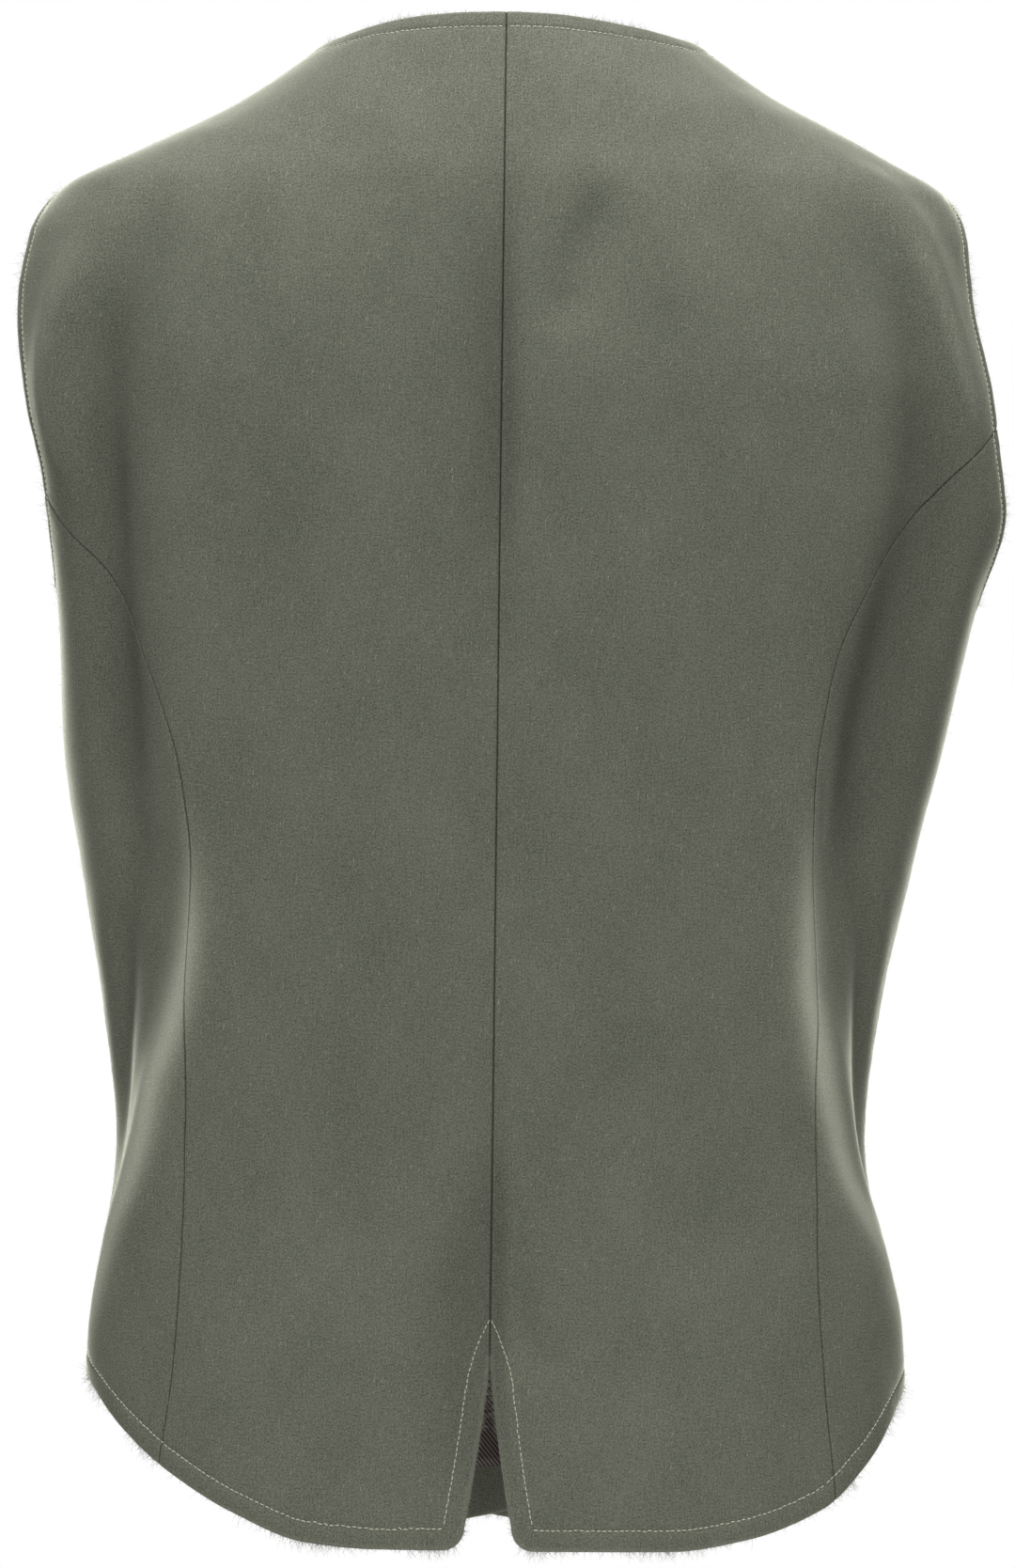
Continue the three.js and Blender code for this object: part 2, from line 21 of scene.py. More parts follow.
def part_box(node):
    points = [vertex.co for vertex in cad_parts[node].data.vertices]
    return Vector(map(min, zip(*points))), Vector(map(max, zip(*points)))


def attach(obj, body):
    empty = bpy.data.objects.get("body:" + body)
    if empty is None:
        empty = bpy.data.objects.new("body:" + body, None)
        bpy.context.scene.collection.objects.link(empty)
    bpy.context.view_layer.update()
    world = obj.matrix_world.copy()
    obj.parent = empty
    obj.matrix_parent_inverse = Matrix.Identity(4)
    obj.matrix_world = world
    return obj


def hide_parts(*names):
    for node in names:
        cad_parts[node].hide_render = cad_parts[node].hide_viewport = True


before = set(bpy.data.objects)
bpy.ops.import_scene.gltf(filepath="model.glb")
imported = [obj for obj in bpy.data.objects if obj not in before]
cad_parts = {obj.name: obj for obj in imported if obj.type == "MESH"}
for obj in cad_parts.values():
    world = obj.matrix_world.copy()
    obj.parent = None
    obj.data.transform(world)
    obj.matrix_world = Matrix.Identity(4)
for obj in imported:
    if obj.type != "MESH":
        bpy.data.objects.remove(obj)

LOG = logging.getLogger("vest")
MM = 0.001
ROOT_BODY = "root"
SIDE_ANGLE = 90.0
FRONT_ANGLE = 180.0

Numbers = np.ndarray | float
Places = np.ndarray
Points = np.ndarray
Stretch = Callable[[np.ndarray], Places]
Object = bpy.types.Object
Material = bpy.types.Material
Socket = bpy.types.NodeSocket


class Side(Enum):
    """A half of the body, as the sign of its X coordinate."""

    LEFT = 1
    RIGHT = -1

    @property
    def word(self) -> str:
        """The half's name, as used in node names."""
        return self.name.lower()


class Edge(Enum):
    """What a stretch of a panel's outline is: sewn to a neighbour, or a finished edge."""

    SEAM = "seam"
    NECK = "neck"
    ARMHOLE = "armhole"
    FRONT = "front"
    HEM = "hem"
    VENT = "vent"


# ---- Sizes of the pattern, as cut and worn ----
BACK_LENGTH = 583 * MM
CLOTH = 1.6 * MM
LINING = 0.8 * MM
LAYER_GAP = 0.45 * MM
ARMHOLE_TOP = 66 * MM
ARMHOLE_BOTTOM = 224 * MM
ARMHOLE_BACK = 13.0
ARMHOLE_FRONT = 21.0
VENT_TOP = 511 * MM
VENT_SPREAD = 10.4 * MM
VENT_CORNER = 8 * MM
VENT_STITCH_TOP = 497 * MM
VENT_STITCH_FAN = 26 * MM
V_DEPTH = 286 * MM
OVERLAP = 13 * MM
POINT_WIDTH = 38 * MM
POINT_DROP = 606 * MM
EDGE_DROP = 596 * MM
SIDE_HEM = 518 * MM
SIDE_SEAM_PULL = 5.0
DEGREE_ARC = 2.5 * MM
HEM_FACING = 19 * MM
EDGE_FACING = 1.7 * MM
STITCH_INSET = {
    Edge.NECK: 7.6 * MM,
    Edge.FRONT: 5.2 * MM,
    Edge.ARMHOLE: 4.6 * MM,
    Edge.HEM: 7.8 * MM,
    Edge.VENT: 7.9 * MM,
}


@dataclass(frozen=True)
class Ring:
    """One ring of the worn form, in millimetres.

    It has its drops at the centre back, side and centre front, its half widths to the wearer's left and right, and
    its reach behind and in front of the side line.
    """

    drop: float
    side: float
    front: float
    left: float
    right: float
    back: float
    fore: float


RINGS = (
    Ring(0, 7, 62, 71, 76, 50, 66),
    Ring(20, 27, 77, 98, 105, 62, 77),
    Ring(36, 40, 90, 121, 130, 70, 85),
    Ring(52, 53, 101, 149, 153, 77, 92),
    Ring(66, 66, 112, 174, 174, 83, 97),
    Ring(86, 86, 126, 189, 185, 89, 103),
    Ring(115, 115, 146, 195, 190, 95, 110),
    Ring(150, 150, 170, 190.5, 198, 99, 118),
    Ring(185, 185, 197, 180, 200, 100, 123),
    Ring(224, 224, 229, 173, 187, 99, 125),
    Ring(284, 284, 285, 169, 173, 92, 122),
    Ring(342, 342, 342, 160, 159, 83, 112),
    Ring(385, 385, 385, 153, 150.5, 79, 105),
    Ring(430, 430, 430, 148, 146, 80, 104),
    Ring(503, 503, 503, 155, 159, 89, 110),
    Ring(620, 620, 620, 162, 168, 99, 117),
)


@dataclass(frozen=True)
class Boxiness:
    """How boxy the rings are at a drop (millimetres), at the back and front: 2 is an ellipse."""

    drop: float
    back: float
    front: float


BOXINESS = (
    Boxiness(0, 2.0, 2.0),
    Boxiness(66, 2.3, 2.1),
    Boxiness(150, 2.8, 2.3),
    Boxiness(430, 2.8, 2.3),
    Boxiness(620, 2.6, 2.3),
)


@dataclass(frozen=True)
class HalfRow:
    """A row of a table: millimetres for each half of the body, at a drop in millimetres or an angle in degrees."""

    at: float
    left: float
    right: float


# Distance of the curved back seams from the centre back, by drop.
PRINCESS_TOP = {Side.LEFT: 186 * MM, Side.RIGHT: 157 * MM}
PRINCESS = (
    HalfRow(180, 178, 174),
    HalfRow(202, 166, 156.5),
    HalfRow(220, 153.5, 143.5),
    HalfRow(245, 139.5, 130),
    HalfRow(268, 128, 124.5),
    HalfRow(292, 119.5, 120.5),
    HalfRow(329, 114, 119.3),
    HalfRow(392, 115.8, 120.6),
    HalfRow(479, 117.8, 124.2),
    HalfRow(583, 128, 133),
)
# How far the hem lies above the lowest point of the back, by angle.
HEM = (
    HalfRow(0, 0, 0),
    HalfRow(24, 0, 0),
    HalfRow(37, 2, 0),
    HalfRow(49, 12, 4),
    HalfRow(60, 27, 14),
    HalfRow(68, 40, 30),
    HalfRow(76, 53, 47),
    HalfRow(84, 62, 58),
    HalfRow(90, 65, 65),
    HalfRow(110, 59, 59),
    HalfRow(135, 27, 27),
    HalfRow(150, -1, -1),
)


@dataclass(frozen=True)
class Fold:
    """A soft ridge or trough along a line on the form.

    Attributes:
        sides: The halves of the body that have it.
        start: Angle in degrees and drop in millimetres where it starts.
        end: The same where it ends.
        spread: Reach to each side, in millimetres.
        height: Height in millimetres; a trough's is below 0.
    """

    sides: tuple[Side, ...]
    start: tuple[float, float]
    end: tuple[float, float]
    spread: float
    height: float


BOTH = (Side.LEFT, Side.RIGHT)
LEFT = (Side.LEFT,)
RIGHT = (Side.RIGHT,)

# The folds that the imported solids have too.
FOLDS = (
    # The back's bulge ends in a trough that runs from the armhole down past the waist.
    Fold(LEFT, (62, 85), (65.5, 205), 11, -8.5),
    Fold(LEFT, (66, 165), (67, 335), 13, -7.5),
    Fold(LEFT, (67, 320), (82, 445), 9, -4.5),
    Fold(RIGHT, (67, 90), (66, 205), 12, -8.5),
    Fold(RIGHT, (66, 165), (65, 335), 16, -9),
    Fold(RIGHT, (68, 320), (83, 450), 9, -4.5),
    # The armhole's rim stands up outside it.
    Fold(LEFT, (68, 75), (71, 165), 8, 3),
    Fold(RIGHT, (71, 60), (70.5, 160), 8, 3.5),
    # A ridge runs off the curved back seam at the waist towards the hip.
    Fold(LEFT, (56, 270), (59, 390), 9, 2.5),
    Fold(LEFT, (58, 350), (77, 480), 8, 3),
    Fold(RIGHT, (56, 270), (60, 390), 9, 2.5),
    Fold(RIGHT, (59, 345), (80, 475), 8, 3),
    # The centre back seam sinks in between the shoulder blades and over the vent.
    Fold(LEFT, (0, 60), (1, 250), 24, -4.5),
    Fold(RIGHT, (0, 60), (1, 250), 8, -4.5),
    Fold(LEFT, (0, 400), (0, 580), 24, -4),
    Fold(RIGHT, (0, 400), (0, 580), 8, -4),
    Fold(RIGHT, (24, 68), (12, 130), 11, -1.8),
    Fold(RIGHT, (6, 482), (17, 538), 8, -2),
    # Folds on the fronts.
    Fold(BOTH, (128, 120), (108, 215), 20, -5),
    Fold(BOTH, (140, 340), (100, 455), 17, 3.5),
    Fold(BOTH, (142, 290), (143, 470), 7, -2),
)


@dataclass(frozen=True)
class Crease:
    """A crease along a curved path on the form, rounded or with a crest.

    Attributes:
        sides: The halves of the body that have it.
        path: Angles in degrees and drops in millimetres that it runs through.
        height: Height in millimetres; a trough's is below 0.
        near: Reach towards the centre back, in millimetres.
        far: Reach towards the centre front.
        crest: Radius of its crest in millimetres; 0 gives a round fold.
        fade: Share of its length over which it starts and ends.
        step: How far the cloth beyond it lies back, in millimetres; it also sets how strongly a highlight is painted
            along its crest.
    """

    sides: tuple[Side, ...]
    path: tuple[tuple[float, float], ...]
    height: float
    near: float
    far: float
    crest: float = 0.0
    fade: tuple[float, float] = (0.3, 0.3)
    step: float = 0


LEFT_WAIST = (
    (57.6, 260), (57.6, 300), (57.8, 328), (58.9, 349), (60.8, 369), (63.2, 390), (66.6, 411), (68.6, 432),
    (71, 452), (74.5, 475), (77.5, 508), (80, 535), (82, 560),
)
RIGHT_WAIST = (
    (58, 250), (58, 290), (58.4, 320), (60, 346), (61.2, 366), (63.4, 387), (65.6, 408), (68, 428),
    (70.5, 450), (75, 472), (79, 506), (81.5, 532), (83, 558),
)
UPPER_BACK = ((0, 45), (0, 120), (0, 200), (0, 270))
LOWER_BACK = ((0, 380), (0, 450), (0, 590))

# Creases that only the dressed cloth has.
CREASES = (
    # Crests that run off the curved back seams at the waist towards the hips, with a highlight painted along each.
    Crease(LEFT, LEFT_WAIST, 3.5, 14, 16, 4, (0.4, 0.22), 5),
    Crease(RIGHT, RIGHT_WAIST, 3.5, 14, 16, 4, (0.4, 0.22), 5),
    # The armhole's rolled rim, with a fainter highlight painted along it.
    Crease(LEFT, ((68, 80), (70, 110), (71.5, 150), (73, 195)), 1.8, 9, 9, 4, (0.3, 0.3), 1.6),
    Crease(RIGHT, ((70, 66), (70.5, 105), (71.5, 145), (73, 180)), 1.8, 9, 9, 4, (0.3, 0.3), 1.6),
    # The hollows under the arms grow deeper towards the waist.
    Crease(LEFT, ((63, 130), (65, 220), (67, 290), (69, 350)), -4, 20, 16, 0, (0.9, 0.35)),
    Crease(RIGHT, ((66, 130), (66, 220), (67, 290), (69, 350)), -7, 20, 20, 0, (0.8, 0.35)),
    # Small folds at the hips.
    Crease(RIGHT, ((65, 436), (68.5, 456), (71.2, 468), (78, 490)), 1.6, 4, 7, 0.8),
    Crease(LEFT, ((62, 420), (66, 450), (70, 486)), 0.8, 4, 9, 0.8),
    # Short slanting troughs beside the centre back, and the seam drawn in.
    Crease(RIGHT, ((27, 66), (18.5, 88), (13.8, 108), (12, 132)), -2.6, 7, 10, 1.5),
    Crease(LEFT, UPPER_BACK, -4, 22, 22, 3, (0.3, 0.5)),
    Crease(RIGHT, UPPER_BACK, -4, 6, 6, 3, (0.3, 0.5)),
    Crease(LEFT, ((5, 430), (7, 490), (8, 575)), -3.2, 12, 12, 0, (0.5, 0.2)),
    Crease(LEFT, LOWER_BACK, -3, 22, 22, 3, (0.4, 0.05)),
    Crease(RIGHT, LOWER_BACK, -3, 6, 6, 3, (0.4, 0.05)),
    Crease(RIGHT, ((8, 478), (9.2, 488), (11, 502), (19.5, 520)), -2.4, 5, 7, 1.0),
)


# ---- Curves and the worn form ----
class Curve:
    """A smooth curve through one column of a table, without overshoot (monotone cubic)."""

    def __init__(self, at: Sequence[float], value: Sequence[float]) -> None:
        """Args:
            at: Rising places of the table's rows.
            value: The column's values there.
        """
        self.at = np.asarray(at, float)
        self.value = np.asarray(value, float)
        gap = np.diff(self.at)
        slope = np.diff(self.value) / gap
        self.tangent = np.concatenate([slope[:1], np.zeros(len(gap) - 1), slope[-1:]])
        for i in range(1, len(gap)):
            if slope[i - 1] * slope[i] > 0:
                near = 2 * gap[i] + gap[i - 1]
                far = gap[i] + 2 * gap[i - 1]
                self.tangent[i] = (near + far) / (near / slope[i - 1] + far / slope[i])

    def __call__(self, at: Numbers) -> np.ndarray:
        """Args:
            at: Where to read the curve.

        Returns:
            The curve's values there.
        """
        at = np.asarray(at, float)
        i = np.clip(np.searchsorted(self.at, at, side="right") - 1, 0, len(self.at) - 2)
        width = self.at[i + 1] - self.at[i]
        t = (at - self.at[i]) / width
        square, cube = t**2, t**3
        level = (2 * cube - 3 * square + 1) * self.value[i] + (3 * square - 2 * cube) * self.value[i + 1]
        lean = (cube - 2 * square + t) * self.tangent[i] + (cube - square) * self.tangent[i + 1]
        return level + width * lean


def curves(table: Sequence[Ring | Boxiness], scale: float, *names: str) -> dict[str, Curve]:
    """Returns a curve over the drop for each column named, with its values scaled."""
    drops = [row.drop * MM for row in table]
    return {name: Curve(drops, [getattr(row, name) * scale for row in table]) for name in names}


def mix(low: Numbers, high: Numbers, share: Numbers) -> np.ndarray:
    """Returns the value at a share of the way from low to high."""
    return np.asarray(low) + (np.asarray(high) - np.asarray(low)) * share


def smooth(value: Numbers, low: Numbers, high: Numbers) -> np.ndarray:
    """Returns a soft step from 0 at low to 1 at high."""
    t = np.clip((np.asarray(value) - low) / (high - low), 0, 1)
    return t * t * (3 - 2 * t)


def bell(distance: np.ndarray, reach: Numbers) -> np.ndarray:
    """Returns a round hump of height 1 over some distances."""
    return np.exp(-((distance / reach) ** 2))


def unit(vectors: Points) -> Points:
    """Returns vectors made one long each."""
    return vectors / np.maximum(np.linalg.norm(vectors, axis=-1, keepdims=True), 1e-12)


def along(points: Points) -> np.ndarray:
    """Returns the distance along a line of points, from its first."""
    return np.concatenate([[0], np.cumsum(np.linalg.norm(np.diff(points, axis=0), axis=1))])


def resampled(points: Points, at: np.ndarray) -> Points:
    """Returns the points at some distances along a line of points."""
    reach = along(points)
    return np.stack([np.interp(at, reach, column) for column in points.T], axis=-1)


def as_places(angle: Numbers, drop: Numbers) -> Places:
    """Returns places, with their angles and drops side by side in the last axis."""
    return np.stack(np.broadcast_arrays(np.asarray(angle, float), np.asarray(drop, float)), axis=-1)


@dataclass
class HalfForm:
    """One half of the worn form that all the cloth lies on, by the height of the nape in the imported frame."""

    side: Side
    nape: float

    TURN = np.array([0.5, 0.0])
    FALL = np.array([0.0, 0.5 * MM])
    ROUNDS = 4
    HALVINGS = 40
    INSIDE_FRONT = 200.0

    def __post_init__(self) -> None:
        """Reads the tables into curves of the drop."""
        self.ring = curves(RINGS, MM, "side", "front", "left", "right", "back", "fore")
        self.boxiness = curves(BOXINESS, 1, "back", "front")

    def point(self, places: Places) -> Points:
        """Args:
            places: Where on the form.

        Returns:
            The form's points there.
        """
        angle, drop = places[..., 0], places[..., 1]
        sine, cosine = np.sin(np.radians(angle)), np.cos(np.radians(angle))
        is_back = angle < SIDE_ANGLE
        box = np.where(is_back, self.boxiness["back"](drop), self.boxiness["front"](drop))
        reach = np.where(is_back, self.ring["back"](drop), self.ring["fore"](drop))
        half = self.ring[self.side.word](drop)
        radius = (np.abs(sine / half) ** box + np.abs(cosine / reach) ** box) ** (-1 / box)
        middle = np.where(is_back, drop, self.ring["front"](drop))
        height = mix(middle, self.ring["side"](drop), np.abs(sine) ** 3)
        return np.stack([self.side.value * radius * sine, radius * cosine, self.nape - height], axis=-1)

    def steps(self, places: Places) -> tuple[Points, Points]:
        """Args:
            places: Where on the form.

        Returns:
            How the point moves for a degree of angle, and for a metre of drop.
        """
        along_turn = self.point(places + self.TURN) - self.point(places - self.TURN)
        down = self.point(places + self.FALL) - self.point(places - self.FALL)
        return along_turn, down / (1 * MM)

    def normal(self, places: Places) -> Points:
        """Returns the outward normals of the smooth form."""
        return unit(np.cross(*self.steps(places))) * self.side.value

    def moved(self, places: Places, shift: Points) -> Places:
        """Args:
            places: Where to start.
            shift: How far to go along the surface, as vectors.

        Returns:
            The places that the shift leads to.
        """
        places = places.copy()
        for _ in range(self.ROUNDS):
            turn, down = self.steps(places)
            aa, ad, dd = (np.sum(x * y, -1) for x, y in ((turn, turn), (turn, down), (down, down)))
            sa, sd = np.sum(turn * shift, -1) / self.ROUNDS, np.sum(down * shift, -1) / self.ROUNDS
            whole = np.maximum(aa * dd - ad * ad, 1e-18)
            places += np.stack([(sa * dd - sd * ad) / whole, (sd * aa - sa * ad) / whole], axis=-1)
        return places

    def at_width(self, width: Numbers, drop: Numbers, is_front: bool = False) -> Places:
        """Args:
            width: Distances from the centre line.
            drop: Drops.
            is_front: Whether the places are on the front.

        Returns:
            The places on the form that far from the centre line.
        """
        width, drop = np.broadcast_arrays(np.asarray(width, float), np.asarray(drop, float))
        low = np.full(width.shape, self.INSIDE_FRONT if is_front else 0.0)
        high = np.full(width.shape, SIDE_ANGLE)
        for _ in range(self.HALVINGS):
            middle = (low + high) / 2
            inside = self.side.value * self.point(as_places(middle, drop))[..., 0] < width
            low, high = np.where(inside, middle, low), np.where(inside, high, middle)
        return as_places((low + high) / 2, drop)


@dataclass(frozen=True)
class Ripple:
    """A faint irregular unevenness: waves of a typical length and height, in random directions."""

    wavelength: float
    height: float
    seed: int

    WAVES = 9
    SPREAD = (0.6, 1.6)

    def __call__(self, points: Points) -> np.ndarray:
        """Args:
            points: Where it is read.

        Returns:
            Its heights there.
        """
        chance = np.random.default_rng(self.seed)
        total = np.zeros(points.shape[:-1])
        for _ in range(self.WAVES):
            way = unit(chance.normal(size=3))
            pace = 2 * math.pi / (self.wavelength * chance.uniform(*self.SPREAD))
            total += np.sin(points @ (way * pace) + chance.uniform(0, 2 * math.pi))
        return self.height * total / math.sqrt(self.WAVES)


NearCrease = tuple[Crease, np.ndarray, np.ndarray, np.ndarray, np.ndarray]


@dataclass
class Drape:
    """The outer face of one half's cloth: the form with its folds, its creases and a faint unevenness."""

    form: HalfForm

    UNEVENNESS = (Ripple(48 * MM, 0.28 * MM, 3), Ripple(17 * MM, 0.05 * MM, 4))
    TURNS = np.linspace(0, 200, 101)
    FALLS = np.linspace(0, 620 * MM, 63)
    FOLD_LEAD = 0.15
    FOLD_FADE = 1.3
    PATH_SAMPLES = 49
    CREASE_REACH = 4.5
    STEP_REACH = 34 * MM
    PAINTED_HIGHLIGHT_REACH = (8 * MM, 6 * MM)
    PAINTED_HIGHLIGHT_FALL = 1.3
    PAINTED_HIGHLIGHT_FADE = 1.5
    PAINTED_SHADE_FULL_DEPTH = 12 * MM
    PAINTED_HIGHLIGHT_FULL_STEP = 5

    def __post_init__(self) -> None:
        """Measures the form's rings, and draws the creases' paths on the flat cloth."""
        side = self.form.side
        rings = self.form.point(as_places(self.TURNS[None], self.FALLS[:, None]))
        steps = np.linalg.norm(np.diff(rings[..., :2], axis=1), axis=-1)
        self.reach = np.concatenate([np.zeros((len(self.FALLS), 1)), np.cumsum(steps, axis=1)], axis=1)
        self.folds = [fold for fold in FOLDS if side in fold.sides]
        self.creases: list[tuple[Crease, Places]] = []
        for crease in CREASES:
            if side in crease.sides:
                knots = self.flat(np.array([(angle, drop * MM) for angle, drop in crease.path]))
                knots[:, 0] *= side.value
                at = along(knots)
                fine = np.linspace(0, at[-1], self.PATH_SAMPLES)
                self.creases.append((crease, np.stack([Curve(at, column)(fine) for column in knots.T], axis=-1)))

    def flat(self, places: Places) -> Places:
        """Args:
            places: Where on the form.

        Returns:
            How far round from the centre back, and how far down, in metres of cloth.
        """
        turns, falls, reach = self.TURNS, self.FALLS, self.reach
        turn = np.clip(places[..., 0] / (turns[1] - turns[0]), 0, len(turns) - 1.001)
        fall = np.clip(places[..., 1] / (falls[1] - falls[0]), 0, len(falls) - 1.001)
        i, j = fall.astype(int), turn.astype(int)
        low = mix(reach[i, j], reach[i, j + 1], turn - j)
        high = mix(reach[i + 1, j], reach[i + 1, j + 1], turn - j)
        return np.stack([self.form.side.value * mix(low, high, fall - i), places[..., 1]], axis=-1)

    def fold_height(self, places: Places) -> np.ndarray:
        """Args:
            places: Where on the form.

        Returns:
            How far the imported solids' folds lift the cloth there.
        """
        height = np.zeros(places.shape[:-1])
        for fold in self.folds:
            run = np.array([(fold.end[0] - fold.start[0]) * DEGREE_ARC, (fold.end[1] - fold.start[1]) * MM])
            x = (places[..., 0] - fold.start[0]) * DEGREE_ARC
            y = places[..., 1] - fold.start[1] * MM
            share = (x * run[0] + y * run[1]) / (run @ run)
            aside = (x * run[1] - y * run[0]) / np.linalg.norm(run)
            inside = np.clip((share + self.FOLD_LEAD) / (1 + 2 * self.FOLD_LEAD), 0, 1)
            height += fold.height * MM * np.sin(math.pi * inside) ** self.FOLD_FADE * bell(aside, fold.spread * MM)
        return height

    def near_creases(self, places: Places) -> Iterator[NearCrease]:
        """Args:
            places: Where on the form, in one row.

        Yields:
            Each crease, which places it reaches, how far they are from it, whether each is on its far side, and how
            much of the crease is left there.
        """
        flat = self.flat(places) * (self.form.side.value, 1)
        for crease, path in self.creases:
            room = max(crease.near, crease.far) * MM * self.CREASE_REACH
            near = np.all((flat > path.min(axis=0) - room) & (flat < path.max(axis=0) + room), axis=1)
            ahead = np.diff(path, axis=0)
            lengths = np.maximum(np.linalg.norm(ahead, axis=1), 1e-9)
            away = flat[near][:, None] - path[None, :-1]
            share = np.clip((away * ahead).sum(-1) / lengths**2, 0, 1)
            gap = away - ahead * share[..., None]
            best = np.argmin((gap**2).sum(-1), axis=1)
            row = np.arange(len(best))
            distance = np.linalg.norm(gap[row, best], axis=-1)
            is_far = ahead[best, 1] * away[row, best, 0] - ahead[best, 0] * away[row, best, 1] > 0
            at = (best + share[row, best]) / (self.PATH_SAMPLES - 1)
            fade = smooth(at, 0, crease.fade[0]) * smooth(1 - at, 0, crease.fade[1])
            yield crease, near, distance, is_far, fade

    def crease_height(self, places: Places) -> np.ndarray:
        """Args:
            places: Where on the form.

        Returns:
            How far the creases lift the cloth there.
        """
        height = np.zeros(places[..., 0].size)
        for crease, near, distance, is_far, fade in self.near_creases(places.reshape(-1, 2)):
            reach = np.where(is_far, crease.far, crease.near) * MM
            crest = crease.crest * MM
            round_fold, crested = bell(distance, reach), np.exp(-(np.sqrt(distance**2 + crest**2) - crest) / reach)
            shape = crested if crest else round_fold
            beyond = np.where(is_far, crease.step, 0) * (1 - shape) * bell(distance, self.STEP_REACH)
            height[near] += (crease.height * shape - beyond) * MM * fade
        return height.reshape(places.shape[:-1])

    def painted_light_and_shade(self, places: Places) -> np.ndarray:
        """Args:
            places: Where on the form.

        Returns:
            1 where a highlight is painted along a crest, down to -1 where shade is painted in a hollow.
        """
        # Painted highlight along each crease that has a step, fading away from its crest.
        crest = np.zeros(places[..., 0].size)
        for crease, near, distance, is_far, fade in self.near_creases(places.reshape(-1, 2)):
            highlight_strength = min(crease.step / self.PAINTED_HIGHLIGHT_FULL_STEP, 1) * fade**self.PAINTED_HIGHLIGHT_FADE
            painted_highlight = highlight_strength * np.exp(-((distance / np.where(is_far, *self.PAINTED_HIGHLIGHT_REACH)) ** self.PAINTED_HIGHLIGHT_FALL))
            crest[near] = np.maximum(crest[near], painted_highlight)
        # Painted shade in the hollows, deeper hollows darker.
        painted_shade = np.clip(-self.relief(places) / self.PAINTED_SHADE_FULL_DEPTH, 0, 1)
        return crest.reshape(painted_shade.shape) - painted_shade

    def relief(self, places: Places) -> np.ndarray:
        """Returns how far the folds and creases lift the cloth at some places."""
        return self.fold_height(places) + self.crease_height(places)

    def lay(self, places: Places, lift: Numbers = 0.0) -> Points:
        """Args:
            places: Where on the form.
            lift: Height above the cloth's outer face.

        Returns:
            Points on the draped cloth.
        """
        base = self.form.point(places)
        height = self.relief(places) + lift
        for ripple in self.UNEVENNESS:
            height = height + ripple(base)
        return base + self.form.normal(places) * height[..., None]


# ---- The pattern ----
@dataclass(frozen=True)
class Border:
    """A stretch of a panel's outline, and how many of the panel's rows or columns run along it."""

    line: Stretch
    cells: int
    edge: Edge


class Track:
    """One side of a panel: borders joined end to end, read by a cell number that may have a fraction."""

    SAMPLES = 361
    LENGTH_SAMPLES = 99

    def __init__(self, form: HalfForm, borders: Sequence[Border]) -> None:
        """Args:
            form: The half's worn form.
            borders: The stretches, in order.
        """
        self.form = form
        self.borders = tuple(borders)
        self.cells = sum(border.cells for border in borders)
        self.places = [border.line(np.linspace(0, 1, self.SAMPLES)) for border in borders]
        self.paces: list[np.ndarray] = []
        for places in self.places:
            steps = np.linalg.norm(np.diff(form.point(places), axis=0), axis=1) + np.abs(np.diff(places[:, 1]))
            self.paces.append(np.concatenate([[0], np.cumsum(steps)]))

    def at(self, cells: np.ndarray) -> Places:
        """Args:
            cells: Cell numbers from the track's start.

        Returns:
            The places there.
        """
        result = np.zeros((len(cells), 2))
        start = 0
        for border, places, pace in zip(self.borders, self.places, self.paces):
            here = (cells >= start) & (cells <= start + border.cells)
            target = pace[-1] * (cells[here] - start) / border.cells
            for axis in (0, 1):
                result[here, axis] = np.interp(target, pace, places[:, axis])
            start += border.cells
        return result

    def length(self) -> float:
        """Returns the track's length on the form."""
        return along(self.form.point(self.at(np.linspace(0, self.cells, self.LENGTH_SAMPLES))))[-1]

    def shares(self, other: "Track") -> list[float]:
        """Args:
            other: The panel's opposite side.

        Returns:
            How far in towards the other side the grid needs lines for this side's sewing, as shares of the way.
        """
        shares, start = [], 0
        for border in self.borders:
            middle = np.array([(start + border.cells / 2)])
            width = np.linalg.norm(self.form.point(self.at(middle)) - self.form.point(other.at(middle)))
            shares += [line / width for line in lines_by(border.edge)]
            start += border.cells
        return shares


